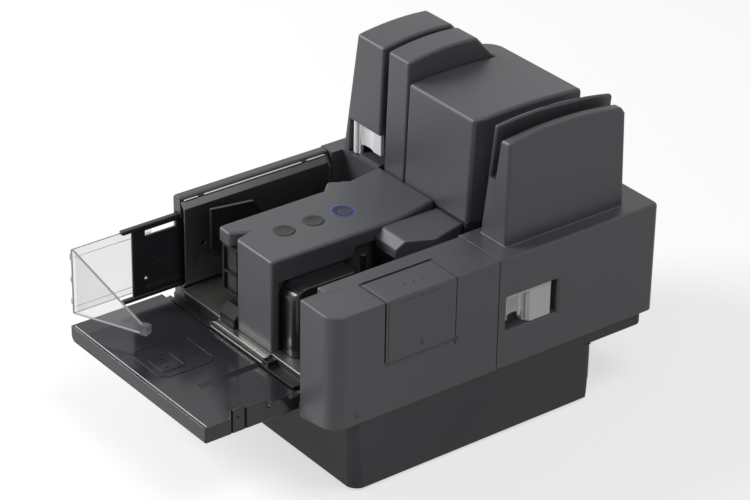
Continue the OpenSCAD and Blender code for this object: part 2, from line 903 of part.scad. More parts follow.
module panel_plan() {
    polygon([[nose_left, panel_front + 0.7], [nose_left + nose_tip, panel_front + 0.2],
        [panel_left - notch_x, panel_front + notch_d], [panel_left, panel_front],
        [panel_right, panel_front], [panel_right, ramp_fold], [ramp_right, feed_rear],
        [ramp_left, feed_rear], [nose_left - 0.1 * wing_out, wing_y + nose_wing_l],
        [nose_left - 0.375 * wing_out, wing_y + 0.88 * nose_wing_l],
        [nose_left - wing_out, wing_y + 0.413 * nose_wing_l], [nose_left, wing_y]]);
}

module panel_cover() {
    color("#5b5c60")
    difference() {
        union() {
            rise(skirt_z, body_top)
                panel_plan();
            intersection() {
                rise(body_top - over, body_top + ramp_rise)
                    panel_plan();
                across(nose_left - wing_out, panel_right)
                    polygon([[ramp_fold, body_top - over], [ramp_fold, body_top],
                        [feed_rear, body_top + ramp_rise], [feed_rear, body_top - over]]);
            }
            slab(panel_left, panel_right, panel_front, panel_front + front_wall, core_z,
                skirt_z + touch);
            slab(panel_right - wall, panel_right, panel_front + front_wall - over, panel_front + side_l,
                core_z + guide_h + touch, skirt_z + touch);
        }
        slab(core_l + wall, panel_right - 2 * wall, panel_front + notch_d + wall, feed_rear - wall,
            skirt_z - over, cavity_top);
        for (i = [0:2])
            pin(button_x, button_y + i * button_pitch, cavity_top - over, body_top + over, button_hole_r);
        pin(button_x, button_y + 2 * button_pitch, body_top - ring_t, body_top + over,
            ring_r + run_fit);
    }
}

module light_ring() {
    color("#3560c0")
    difference() {
        pin(button_x, button_y + 2 * button_pitch, body_top - ring_t, body_top + touch, ring_r);
        pin(button_x, button_y + 2 * button_pitch, body_top - ring_t - over, body_top + over,
            button_hole_r);
    }
}

switch_h = 0.8;
stem_r = 3;
stem_gap = 0.3;
flange_t = 1.2;

module button_board() {
    color("#2d6a3f")
    union() {
        slab(button_x - 1.7 * stem_r * 3, button_x + 1.7 * stem_r * 3, button_y - button_d,
            button_y + 2 * button_pitch + button_d, skirt_z, skirt_z + board_t);
        for (i = [0:2])
            pin(button_x, button_y + i * button_pitch, skirt_z + board_t / 2,
                skirt_z + board_t + switch_h, stem_r);
    }
}

module push_button(i) {
    translate([button_x, button_y + i * button_pitch, 0])
        union() {
            pin(0, 0, cavity_top - run_fit - flange_t, body_top + button_proud, button_d / 2);
            pin(0, 0, cavity_top - run_fit - flange_t, cavity_top - run_fit, button_hole_r + 1.2);
            pin(0, 0, skirt_z + board_t + switch_h + button_travel + stem_gap, cavity_top - flange_t,
                stem_r);
        }
}

module front_button() {
    color("#4c4e50")
    push_button(0);
}

module middle_button() {
    color("#4c4e50")
    push_button(1);
}

module power_button() {
    color("#4c4e50")
    push_button(2);
}

// Ramp block, pocket guide and post
ramp_block_top = body_top - 1.8;
ramp_chamfer = 8;
ramp_front = 127;
ramp_dip = 1.6;
ramp_side = 16;
ramp_taper = 8.8;

module ramp_block() {
    color("#4b4c50")
    intersection() {
        rise(core_z, ramp_block_top)
            polygon([[panel_right + touch, ramp_front], [core_r - ramp_side, ramp_front - ramp_dip],
                [core_r - touch, ramp_front + 2 * ramp_side], [core_r - ramp_taper, feed_rear],
                [panel_right + touch, feed_rear]]);
        across(panel_right, core_r)
            polygon([[ramp_front - ramp_chamfer, core_z - over],
                [ramp_front - touch, ramp_block_top - ramp_chamfer],
                [ramp_front + ramp_chamfer - touch, ramp_block_top], [feed_rear, ramp_block_top],
                [feed_rear, core_z - over]]);
    }
}

guide_w = 25.5;
guide_left = core_wall_r + touch;
guide_front = panel_front + 10;
guide_l = 65;
guide_h = 67;
guide_round = 13;

module pocket_guide() {
    color("#1b1c1e")
    difference() {
        across(guide_left, guide_left + guide_w)
            difference() {
                plan(guide_front, guide_front + guide_l, core_z, core_z + guide_h);
                corner(guide_front, core_z + guide_h, 1, -1, guide_round);
            }
        rise(core_z - over, core_z + guide_h + over) {
            corner(guide_left + guide_w, guide_front, -1, 1, guide_w / 3);
            corner(guide_left + guide_w, guide_front + guide_l, -1, -1, guide_w / 6);
        }
    }
}

post_x = 30.4;
post_y = guide_front + 80;
post_r = 2.4;
post_h = 74;
post_plate_y = ramp_front - ramp_dip - touch;

module pocket_post() {
    color("#6f7174")
    union() {
        pin(post_x, post_y, core_z, core_z + post_h, post_r);
        pin(post_x, post_y, core_z, core_z + post_r, 2 * post_r);
        pin(post_x, post_y, core_z + post_h - post_r, core_z + post_h, 1.4 * post_r);
        slab(panel_right + touch, core_r - ramp_side, post_plate_y - post_r / 4, post_plate_y,
            core_z, core_z + post_h);
        slab(post_x - post_r, post_x + post_r, post_y, post_plate_y, core_z, core_z + over);
    }
}

// Right front cover with its hatch
hatch_x = half_w - hatch_w;
hatch_t = 2.5;
hatch_gap = 0.5;
hatch_back = 2.5;
hatch_pin_r = 1.5;
hatch_barrel_r = 2.2;
hatch_axis_x = hatch_x + 1.6;
hatch_axis_z = body_top - 3.2;
hatch_end = hatch_y + hatch_l;
hatch_z = body_top - hatch_h;
chin_h = 8;
chin_d = 19;
boss_w = 4;
boss_l = 3;

module cover_plan(inset) {
    difference() {
        polygon([[cover_x + inset, inset], [half_w - inset, inset],
            [half_w - inset, right_seam_y - inset], [inner_x + inset, right_seam_y - inset],
            [inner_x + inset, cover_step_y + inset], [cover_x + inset, cover_step_y + inset]]);
        corner(half_w - inset, inset, -1, 1, front_corner_r - inset);
        corner(cover_x + inset, inset, 1, 1, edge_r);
    }
}

module front_cover() {
    color("#4b4c50")
    difference() {
        union() {
            difference() {
                rise(base_top + touch, body_top)
                    cover_plan(0);
                rise(base_top, cavity_top)
                    cover_plan(wall);
            }
            intersection() {
                rise(base_top - chin_h, base_top + over)
                    cover_plan(0);
                slab(cover_x, half_w, 0, chin_d, base_top - chin_h, base_top + over);
            }
            slab(half_w - 2.5 * wall, half_w - wall / 2, hatch_y - wall, hatch_end + wall,
                hatch_z - hatch_gap - scoop_h - wall, hatch_z - hatch_gap);
            for (y = [hatch_y - boss_l, hatch_end])
                slab(hatch_axis_x - boss_w, hatch_axis_x + boss_w, y, y + boss_l,
                    hatch_axis_z - boss_w, cavity_top + touch);
        }
        slab(hatch_x - hatch_back, half_w + over, hatch_y, hatch_end, hatch_z - hatch_gap,
            body_top + over);
        along(hatch_y, hatch_end)
            polygon([[half_w + over, hatch_z - hatch_gap - scoop_h],
                [half_w, hatch_z - hatch_gap - scoop_h], [half_w - wall, hatch_z - hatch_gap],
                [half_w - wall, hatch_z], [half_w + over, hatch_z]]);
        long_pin(hatch_axis_x, hatch_y - boss_l + touch, hatch_end + boss_l - touch, hatch_axis_z,
            hatch_pin_r + run_fit);
    }
}

module hatch() {
    color("#4b4c50")
    union() {
        along(hatch_y + hatch_gap, hatch_end - hatch_gap)
            polygon([[hatch_x, body_top], [half_w - edge_r, body_top], [half_w, body_top - edge_r],
                [half_w, hatch_z], [half_w - hatch_t, hatch_z], [half_w - hatch_t, body_top - hatch_t],
                [hatch_x, body_top - hatch_t]]);
        long_pin(hatch_axis_x, hatch_y + hatch_gap, hatch_end - hatch_gap, hatch_axis_z,
            hatch_barrel_r);
        long_pin(hatch_axis_x, hatch_y - boss_l + 2 * touch, hatch_end + boss_l - 2 * touch,
            hatch_axis_z, hatch_pin_r);
    }
}

holder_h = 26;
holder_x = inner_x + 2.5 * wall;
cartridge_w = 25;
cartridge_l = 54;
cartridge_h = 68;
cartridge_x = half_w - 3 * wall - cartridge_w;
cartridge_y = hatch_y + (hatch_l - cartridge_l) / 2;

module cartridge_holder() {
    color("#2b2b2e")
    difference() {
        slab(holder_x, half_w - wall - 2 * touch, cartridge_y - wall, cartridge_y + cartridge_l + wall,
            base_top + touch, base_top + holder_h + 3 * wall);
        slab(cartridge_x - touch, half_w - wall, cartridge_y - touch, cartridge_y + cartridge_l + touch,
            base_top + holder_h, base_top + holder_h + 4 * wall);
    }
}

module imprint_cartridge() {
    color("#1f3f6b")
    union() {
        slab(cartridge_x, cartridge_x + cartridge_w, cartridge_y, cartridge_y + cartridge_l,
            base_top + holder_h + touch, base_top + holder_h + cartridge_h);
        slab(holder_x, cartridge_x + over, cartridge_y + cartridge_l / 3,
            cartridge_y + 2 * cartridge_l / 3, base_top + holder_h + 4 * wall,
            base_top + holder_h + 8 * wall);
    }
}

// Track core, with four rollers in its walls
head_y = (feed_y + turn_roller_y) / 2;
head_l = 14;
head_h = 18;
head_w = 12;
head_z = tyre_low;

module core_plan(inset) {
    difference() {
        polygon([[core_l + inset, block_front + inset], [core_r - bevel_w, block_front + inset],
            [core_r - inset, block_front + bevel_d], [core_r - inset, block_rear - inset],
            [core_l + inset, block_rear - inset]]);
        corner(core_l + inset, block_rear - inset, 1, -1, turn_r - inset);
        corner(core_r - inset, block_rear - inset, -1, -1, turn_r - inset);
    }
}

module track_core() {
    color("#2b2b2e")
    difference() {
        rise(core_z, core_top)
            core_plan(0);
        slab(drive_lx + drive_r + roller_room + wall, drive_rx - drive_r - roller_room - wall,
            block_front + wall, block_rear - wall, core_z - over, pocket_top);
        roller_bores(drive_lx, [feed_y, turn_roller_y], shaft_high + touch);
        roller_bores(drive_rx, [feed_y, turn_roller_y], shaft_high + touch);
        slab(core_l - over, core_l + head_w + touch, head_y - head_l / 2 - touch,
            head_y + head_l / 2 + touch, head_z - touch, head_z + head_h + touch);
    }
}

module magnetic_head() {
    color("#8d8f92")
    slab(core_l, core_l + head_w, head_y - head_l / 2, head_y + head_l / 2, head_z, head_z + head_h);
}

// Crowned block and strip over the core
crown_wall = wall + 1;

module tower_profile(z0, top, peak, r, rear) {
    crowned([[block_front, z0], [block_front + front_lean, top], [rear, top], [rear, z0]],
        peak, top, r);
}

strip_slope_z = strip_top - block_top;
strip_rear = block_front + strip_d;

module strip_profile(z0) {
    crowned([[block_front, z0], [block_front + front_lean, strip_top], [strip_rear, strip_top],
        [strip_rear + rear_slope, block_top], [strip_rear + rear_slope, z0]],
        crown_y, strip_top, strip_crown_r);
}

module strip_cover() {
    color("#5b5c60")
    difference() {
        across(core_l, strip_r - touch / 2)
            strip_profile(body_top);
        slab(core_l + wall, strip_r - wall, block_front + front_lean + wall,
            strip_rear + rear_slope - wall, body_top - over, block_top - crown_wall);
    }
}

module block_plan() {
    difference() {
        union() {
            polygon([[strip_r + touch / 2, block_front], [core_r - bevel_w, block_front],
                [core_r, block_front + bevel_d], [core_r, block_rear],
                [strip_r + touch / 2, block_rear]]);
            plan(core_l, strip_r + over, strip_rear + rear_slope + touch, block_rear);
        }
        corner(core_l, block_rear, 1, -1, block_corner_r);
        corner(core_r, block_rear, -1, -1, edge_r * 2);
    }
}

module centre_cover() {
    color("#5b5c60")
    difference() {
        intersection() {
            across(core_l, core_r)
                tower_profile(body_top, block_top, crown_y, block_crown_r, block_rear);
            rise(body_top, block_top)
                block_plan();
        }
        slab(strip_r + wall, core_r - bevel_w - wall, block_front + front_lean + wall,
            block_rear - wall, body_top - over, block_top - 2 * crown_wall);
    }
}

// Rear cover: the outer wall of the turn, with the sockets
inlet_r = 4.5;
inlet_x = 40;
inlet_l = 12;
socket_x = 10;
socket_w = 12;
socket_h = 11;
socket_rise = 14;
rear_socket_z = base_top + socket_rise;

module rear_cover() {
    color("#4b4c50")
    difference() {
        rise(base_top + touch, body_top)
            difference() {
                plan(outer_l + seam, outer_r - seam, turn_y - turn_out, body_d);
                difference() {
                    plan(outer_l - over, outer_r + over, turn_y - turn_out - over, turn_y);
                    corner(outer_l, turn_y, 1, -1, turn_out);
                    corner(outer_r, turn_y, -1, -1, turn_out);
                }
            }
        slab(outer_l + seam + wall, outer_r - seam - wall, turn_y + wall, body_d - wall, base_top,
            cavity_top);
        long_pin(inlet_x, body_d - wall - over, body_d + over, rear_socket_z, inlet_r);
        slab(socket_x - socket_w / 2, socket_x + socket_w / 2, body_d - wall - over, body_d + over,
            rear_socket_z - socket_h / 2, rear_socket_z + socket_h / 2);
    }
}

module power_inlet() {
    color("#1a1a1b")
    difference() {
        long_pin(inlet_x, body_d - wall - inlet_l, body_d - touch, rear_socket_z, inlet_r - run_fit);
        long_pin(inlet_x, body_d - inlet_l, body_d, rear_socket_z, 0.62 * inlet_r);
    }
}

module data_socket() {
    color("#c9ccd0")
    difference() {
        slab(socket_x - socket_w / 2 + run_fit, socket_x + socket_w / 2 - run_fit,
            body_d - wall - inlet_l, body_d - touch, rear_socket_z - socket_h / 2 + run_fit,
            rear_socket_z + socket_h / 2 - run_fit);
        slab(socket_x - 0.4 * socket_w, socket_x + 0.4 * socket_w, body_d - inlet_l, body_d,
            rear_socket_z - 0.4 * socket_h, rear_socket_z + 0.4 * socket_h);
    }
}

// Parts that both carriages share
carriage_core = 21;
pinch_shaft_r = 2;
pinch_room = 1;
pinch_bearing = 5;
pinch_low = tyre_low - tyre_gap;
pinch_high = tyre_high + tyre_h + tyre_gap;
glass_t = 2;
glass_l = 10;
glass_y = feed_y + 1.8 * drive_r;
glass_z = floor_z + 6;
glass_top = pocket_top;

module pinch_bores(x) {
    for (y = [feed_y, turn_roller_y]) {
        pin(x, y, pinch_low, pinch_high, pinch_r + pinch_room);
        pin(x, y, pinch_low - pinch_bearing, pinch_high + pinch_bearing, pinch_shaft_r + run_fit);
    }
}

module hinge_bore(x) {
    pin(x, hinge_y, carriage_z - over, hinge_top + touch, hinge_d / 2 + run_fit);
}

// Left carriage with its tower
left_foot = outer_l - left_tower_w;
left_front = left_seam_y + seam;
left_window_x = outer_l - left_window_w;
left_window_top = body_top + left_window_h;
lever_hub_r = 4.5;
lever_x = left_window_x + 1.5 * lever_hub_r;
lever_y = block_front + 1.4 * lever_hub_r;
lever_pin_r = 2;
lever_pin_l = 2.6;
lever_t = 4;

module left_tower() {
    intersection() {
        across(left_foot, outer_l)
            strip_profile(body_top - over);
        along(block_front, strip_rear + rear_slope)
            polygon([[left_foot, body_top - over], [outer_l, body_top - over], [outer_l, strip_top],
                [left_foot + left_draft, strip_top]]);
    }
}

module left_carriage() {
    color("#4b4c50")
    difference() {
        union() {
            rise(carriage_z, body_top)
                difference() {
                    union() {
                        plan(left_x, outer_l, arm_y, body_d);
                        plan(left_x, liner_x, left_front, arm_y + over);
                    }
                    corner(left_x, body_d, 1, -1, rear_corner_r);
                    corner(outer_l, body_d, -1, -1, swing_r);
                }
            left_tower();
        }
        slab(left_x + wall, outer_l - carriage_core, arm_y + wall, body_d - wall,
            carriage_z - over, cavity_top);
        slab(left_x + wall, liner_x - wall, left_front + wall, arm_y + wall + over,
            carriage_z - over, cavity_top);
        slab(left_foot + left_draft + wall, outer_l - wall, block_front + left_window_d + wall,
            strip_rear - wall, cavity_top - touch, block_top);
        slab(left_window_x, outer_l + over, block_front - over, block_front + left_window_d,
            body_top, left_window_top);
        pin(lever_x, lever_y, body_top - lever_pin_l - touch, left_window_top + lever_pin_l + touch,
            lever_pin_r + run_fit);
        hinge_bore(hinge_lx);
        pinch_bores(pinch_lx);
        slab(outer_l - glass_t - touch, outer_l + over, glass_y, glass_y + glass_l, glass_z, glass_top);
    }
}

module left_scan_window() {
    color([0.75, 0.82, 0.85, 0.45])
    slab(outer_l - glass_t, outer_l, glass_y + touch, glass_y + glass_l - touch,
        glass_z + touch, glass_top - touch);
}

module left_lever() {
    color("#e6e6e8")
    difference() {
        union() {
            pin(lever_x, lever_y, body_top + slide_gap, left_window_top - slide_gap, lever_hub_r);
            slab(lever_x, lever_x + left_lever_l, lever_y - lever_hub_r / 2,
                lever_y - lever_hub_r / 2 + lever_t, body_top + slide_gap, left_window_top - slide_gap);
            pin(lever_x, lever_y, body_top - lever_pin_l, left_window_top + lever_pin_l, lever_pin_r);
        }
        pin(lever_x + 0.42 * left_lever_l, lever_y - 5 * lever_hub_r, body_top,
            left_window_top, 5 * lever_hub_r);
    }
}

// Right carriage with its card slot
right_foot_l = core_r + tower_gap;
right_foot_r = half_w - tower_inset;
right_front = right_seam_y + seam;
fin_lean_share = 0.0926;
slot_lean_share = 0.111;
outer_lean_share = 0.0415;
fin_t = 2.9;
fin_h = inner_fin_top - body_top;
slot_l = right_foot_l + fin_lean_share * (slot_floor - body_top) + fin_t;
slot_rise = inner_fin_top - slot_floor;
outer_lean = outer_lean_share * fin_h;
fin_peak = block_front + 50;
outer_peak = fin_peak + 12;
fin_slope = 8;
side_window_y = right_front + 8.8;
side_lever_gap = 0.4;
side_lever_inset = 1.5;
side_lever_end = side_window_y + side_window_l - side_lever_travel - 2 * side_lever_gap;

module fin_profile(top, peak) {
    crowned([[block_front, body_top - over], [block_front + front_lean, top],
        [block_front + right_tower_d - fin_slope, top], [block_front + right_tower_d,
        top - 1.5 * fin_slope], [block_front + right_tower_d, body_top - over]],
        peak, top, fin_crown_r);
}

module right_tower() {
    difference() {
        intersection() {
            along(block_front, block_front + right_tower_d)
                polygon([[right_foot_l, body_top - over],
                    [right_foot_l + fin_lean_share * fin_h, inner_fin_top],
                    [right_foot_r - outer_lean, inner_fin_top], [right_foot_r, body_top - over]]);
            union() {
                across(right_foot_l, slot_l + slot_w)
                    fin_profile(inner_fin_top, fin_peak);
                across(slot_l + slot_w / 2, right_foot_r)
                    fin_profile(outer_fin_top, outer_peak);
            }
        }
        along(block_front - over, block_front + right_tower_d + over)
            polygon([[slot_l, slot_floor], [slot_l + slot_w, slot_floor],
                [slot_l + slot_w + slot_lean_share * slot_rise, inner_fin_top],
                [slot_l + slot_w + slot_lean_share * slot_rise, inner_fin_top + over],
                [slot_l + slot_lean_share * slot_rise, inner_fin_top + over],
                [slot_l + slot_lean_share * slot_rise, inner_fin_top]]);
    }
}

module right_carriage() {
    color("#4b4c50")
    difference() {
        union() {
            difference() {
                rise(carriage_z, body_top)
                    difference() {
                        plan(outer_r, half_w, right_front, body_d);
                        corner(half_w, body_d, -1, -1, rear_corner_r);
                        corner(outer_r, body_d, 1, -1, swing_r);
                    }
                slab(outer_r + carriage_core, half_w - wall, right_front + wall, body_d - wall,
                    carriage_z - over, cavity_top);
            }
            right_tower();
            slab(half_w - side_window_d - wall, half_w - wall / 2, side_window_y - wall,
                side_window_y + side_window_l + wall, side_window_z - wall,
                side_window_z + side_window_h + wall);
        }
        slab(half_w - side_window_d, half_w + over, side_window_y, side_window_y + side_window_l,
            side_window_z, side_window_z + side_window_h);
        slab(slot_l, right_foot_r - outer_lean - wall, block_front + front_lean + wall,
            block_front + right_tower_d - wall, cavity_top - touch, slot_floor - wall);
        hinge_bore(hinge_rx);
        pinch_bores(pinch_rx);
        slab(outer_r - over, outer_r + glass_t + touch, glass_y, glass_y + glass_l, glass_z, glass_top);
    }
}

module right_scan_window() {
    color([0.75, 0.82, 0.85, 0.45])
    slab(outer_r, outer_r + glass_t, glass_y + touch, glass_y + glass_l - touch,
        glass_z + touch, glass_top - touch);
}

module right_lever() {
    color("#e6e6e8")
    difference() {
        slab(half_w - side_window_d + side_lever_gap, half_w - side_lever_inset,
            side_window_y + side_lever_gap, side_lever_end, side_window_z + side_lever_gap,
            side_window_z + side_window_h - side_lever_gap);
        pin(half_w + 0.3 * side_window_d, side_window_y + side_window_l / 4,
            side_window_z, side_window_z + side_window_h, 0.95 * side_window_d);
    }
}

module hinge_pins() {
    color("#b9bbbe")
    for (x = [hinge_lx, hinge_rx])
        pin(x, hinge_y, base_top - hinge_sink, hinge_top, hinge_d / 2);
}

// Drive: one belt around the pulleys of all shafts
pulley_flange = 0.6;

module pulley(x, y) {
    pin(x, y, pulley_z, pulley_z + pulley_h, pulley_r);
}

module motor_pulley() {
    color("#b9bbbe")
    union() {
        pin(drive_lx, motor_y, motor_z + motor_h / 2, pulley_z + over, shaft_d / 2);
        pulley(drive_lx, motor_y);
        pin(drive_lx, motor_y, base_top + touch, pulley_z + over, hub_r);
    }
}

belt_stops = [[drive_lx, pickup_y], [drive_rx, feed_y], [drive_rx, turn_roller_y],
    [drive_lx, turn_roller_y]];

// Outward unit normal of the run from one stop to the next
function run_normal(a, b) = [b[1] - a[1], a[0] - b[0]] / norm(b - a);

module belt_plan(r) {
    union() {
        for (p = belt_stops)
            translate(p)
                circle(r);
        polygon([for (i = [0:3], e = [0, 1])
            belt_stops[(i + e) % 4] + r * run_normal(belt_stops[i], belt_stops[(i + 1) % 4])]);
    }
}

module drive_belt() {
    color("#161617")
    rise(pulley_z + belt_trim, pulley_z + pulley_h - belt_trim)
        difference() {
            belt_plan(pulley_r + belt_slack + belt_t);
            belt_plan(pulley_r + belt_slack);
        }
}

module drive_roller(x, y) {
    union() {
        pin(x, y, shaft_low, shaft_high, shaft_d / 2);
        pin(x, y, floor_z + tyre_gap, tyre_low + over, hub_r);
        pin(x, y, tyre_low + tyre_h - over, tyre_high + over, hub_r);
        for (z = [tyre_low, tyre_high])
            pin(x, y, z, z + tyre_h, drive_r);
        pulley(x, y);
    }
}

module pinch_roller(x, y) {
    union() {
        pin(x, y, pinch_low - pinch_bearing + touch, pinch_high + pinch_bearing - touch,
            pinch_shaft_r);
        for (z = [tyre_low, tyre_high])
            pin(x, y, z, z + tyre_h, pinch_r);
        pin(x, y, tyre_low + tyre_h - over, tyre_high + over, 1.6 * pinch_shaft_r);
    }
}

module pickup_roller() {
    color("#3a3a3c")
    drive_roller(drive_lx, pickup_y);
}

module feed_roller() {
    color("#3a3a3c")
    drive_roller(drive_lx, feed_y);
}

module left_turn_roller() {
    color("#3a3a3c")
    drive_roller(drive_lx, turn_roller_y);
}

module right_turn_roller() {
    color("#3a3a3c")
    drive_roller(drive_rx, turn_roller_y);
}

module exit_roller() {
    color("#3a3a3c")
    drive_roller(drive_rx, feed_y);
}

module retard_roller() {
    color("#8a4a34")
    pinch_roller(pinch_lx, feed_y);
}

module left_pinch_roller() {
    color("#5a5a5c")
    pinch_roller(pinch_lx, turn_roller_y);
}

module exit_pinch_roller() {
    color("#5a5a5c")
    pinch_roller(pinch_rx, feed_y);
}

module right_pinch_roller() {
    color("#5a5a5c")
    pinch_roller(pinch_rx, turn_roller_y);
}

// Sliding guides
plate_t = 2.5;
plate_x = rail_x + (rail_w - plate_t) / 2;
plate_setback = 11;
slot_y = -16.7;
slot_l_guide = 32.4;
slot_h_guide = 5.5;
eye_r = 1.5;
grip_h = 4;
grip_pitch = 3.2;
grip_ribs = 12;

module guide_plate() {
    color("#1f2024")
    difference() {
        union() {
            for (z = [plate_z, plate_top - rail_h])
                slab(rail_x, rail_x + rail_w, -rail_reach, rail_l - rail_reach, z, z + rail_h);
            slab(plate_x, plate_x + plate_t, plate_setback - rail_reach, rail_l - rail_reach,
                plate_z + rail_h - touch, plate_top - rail_h + touch);
            for (i = [0:grip_ribs - 1])
                slab(plate_x + plate_t - touch, rail_x + rail_w, slot_y + i * grip_pitch,
                    slot_y + (i + 0.5) * grip_pitch, plate_z + 2 * rail_h,
                    plate_z + 2 * rail_h + grip_h);
        }
        slab(plate_x - over, plate_x + plate_t + over, slot_y, slot_y + slot_l_guide,
            plate_top - 2 * rail_h - slot_h_guide + touch, plate_top - 2 * rail_h + touch);
        cross_pin(plate_x - over, plate_x + plate_t + over, slot_y, plate_z + 19, eye_r);
    }
}

clear_x = rail_x - touch - clear_t;
clear_z = plate_z + rail_h + clear_t;
clear_top = plate_top - rail_h - slide_gap;
wing_low = floor_z + 4.6;
wing_tip_h = 8;
foot_w = 9;

module clear_guide() {
    color([0.9, 0.92, 0.94, 0.3])
    union() {
        slab(clear_x, clear_x + clear_t, -clear_reach, clear_l - clear_reach, clear_z, clear_top);
        translate([clear_x, -clear_reach, 0])
            rotate([0, 0, wing_angle]) {
                along(0, clear_t)
                    polygon([[clear_t, clear_z], [wing_l, wing_low], [wing_l, wing_low + wing_tip_h],
                        [clear_t, clear_top]]);
                along(0, foot_w)
                    polygon([[wing_l - foot_w, wing_low], [wing_l, wing_low],
                        [wing_l, wing_low + wing_tip_h], [wing_l - foot_w, wing_low + wing_tip_h]]);
            }
    }
}

place() base_housing();
place() base_cover();
place() rubber_feet();
place() base_screws();
place() drive_motor();
place() control_board();
place() transport_deck();
place() hopper_floor();
place() pocket_floor();
place() front_sill();
place() left_wall_cover();
place() hopper_liner();
place() liner_strip();
place() feed_core();
place() separator_post();
place() panel_cover();
place() light_ring();
place() button_board();
place() front_button();
place() middle_button();
place() power_button();
place() ramp_block();
place() pocket_guide();
place() pocket_post();
place() front_cover();
place() hatch();
place() cartridge_holder();
place() imprint_cartridge();
place() track_core();
place() strip_cover();
place() centre_cover();
place() rear_cover();
place() power_inlet();
place() data_socket();
place() magnetic_head();
place() left_carriage();
place() left_scan_window();
place() left_lever();
place() right_carriage();
place() right_scan_window();
place() right_lever();
place() hinge_pins();
place() motor_pulley();
place() drive_belt();
place() pickup_roller();
place() feed_roller();
place() left_turn_roller();
place() right_turn_roller();
place() exit_roller();
place() retard_roller();
place() left_pinch_roller();
place() right_pinch_roller();
place() exit_pinch_roller();
place() pusher();
place() pusher_rod();
place() tray_cover();
place() tray_plate();
place() tray_pins();
place() guide_plate();
place() clear_guide();
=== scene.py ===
import math

import bmesh
import bpy
from bpy.props import FloatProperty, FloatVectorProperty, PointerProperty
from mathutils import Matrix, Vector
from mathutils.bvhtree import BVHTree


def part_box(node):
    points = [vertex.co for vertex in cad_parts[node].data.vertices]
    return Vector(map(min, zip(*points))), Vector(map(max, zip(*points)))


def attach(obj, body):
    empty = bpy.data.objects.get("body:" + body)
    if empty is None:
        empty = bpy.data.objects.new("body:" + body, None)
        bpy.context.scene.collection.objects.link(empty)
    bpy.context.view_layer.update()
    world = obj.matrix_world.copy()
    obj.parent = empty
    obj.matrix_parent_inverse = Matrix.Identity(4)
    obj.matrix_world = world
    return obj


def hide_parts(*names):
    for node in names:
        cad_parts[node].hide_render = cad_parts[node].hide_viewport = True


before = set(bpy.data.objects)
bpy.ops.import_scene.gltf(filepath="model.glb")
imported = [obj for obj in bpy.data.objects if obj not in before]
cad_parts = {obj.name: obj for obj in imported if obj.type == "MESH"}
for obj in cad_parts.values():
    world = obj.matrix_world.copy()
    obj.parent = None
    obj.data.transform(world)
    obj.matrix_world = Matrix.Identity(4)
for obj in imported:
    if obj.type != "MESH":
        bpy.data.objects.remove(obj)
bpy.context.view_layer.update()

bl_info = {
    "name": "Cheque scanner",
    "version": (1, 0, 0),
    "blender": (4, 5, 0),
    "location": "3D View > Sidebar > Scanner",
    "description": "Dresses the cheque scanner: covers, hopper, tray, guides, levers and studio",
    "category": "Object",
}

# Places are given in millimetres from the front of the right cover and from the table;
# the frame's own origin lies this much further back.
FRONT_TO_ORIGIN = 133.25

AXES = {"X": Vector((1, 0, 0)), "Y": Vector((0, 1, 0)), "Z": Vector((0, 0, 1))}


def at(x, y, z):
    """A place in millimetres from the cover front as a point of the frame, in metres."""
    return Vector((x, y - FRONT_TO_ORIGIN, z)) / 1000


def from_frame(point):
    """The same, the other way round."""
    return Vector((point.x * 1000, point.y * 1000 + FRONT_TO_ORIGIN, point.z * 1000))


def box_of(node):
    """The lowest and the highest corner of a CAD node's box, in millimetres."""
    return [from_frame(corner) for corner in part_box(node)]


# Colours and nodes

def linear(hex_colour):
    """An sRGB colour such as 5a5b5f as linear light, with full alpha."""
    parts = [int(hex_colour[i:i + 2], 16) / 255 for i in (0, 2, 4)]
    return [c / 12.92 if c <= 0.04045 else ((c + 0.055) / 1.055) ** 2.4 for c in parts] + [1.0]


def add_node(tree, kind, settings=None, links=None):
    """Adds one node, with the values of its settings and the outputs that feed its sockets."""
    node = tree.nodes.new(kind)
    for key, value in (settings or {}).items():
        if isinstance(key, str) and hasattr(node, key) and key not in node.inputs:
            setattr(node, key, value)
        else:
            node.inputs[key].default_value = value
    for key, output in (links or {}).items():
        tree.links.new(output, node.inputs[key])
    return node


MATERIALS = {}


def new_material(name):
    """Keeps an empty node-based material by its name, and gives its tree."""
    material = MATERIALS[name] = bpy.data.materials.new(name)
    material.use_nodes = True
    material.node_tree.nodes.clear()
    return material.node_tree


def close_material(tree, shader):
    """Ends a material's tree with this shader."""
    add_node(tree, "ShaderNodeOutputMaterial", None, {"Surface": shader.outputs[0]})


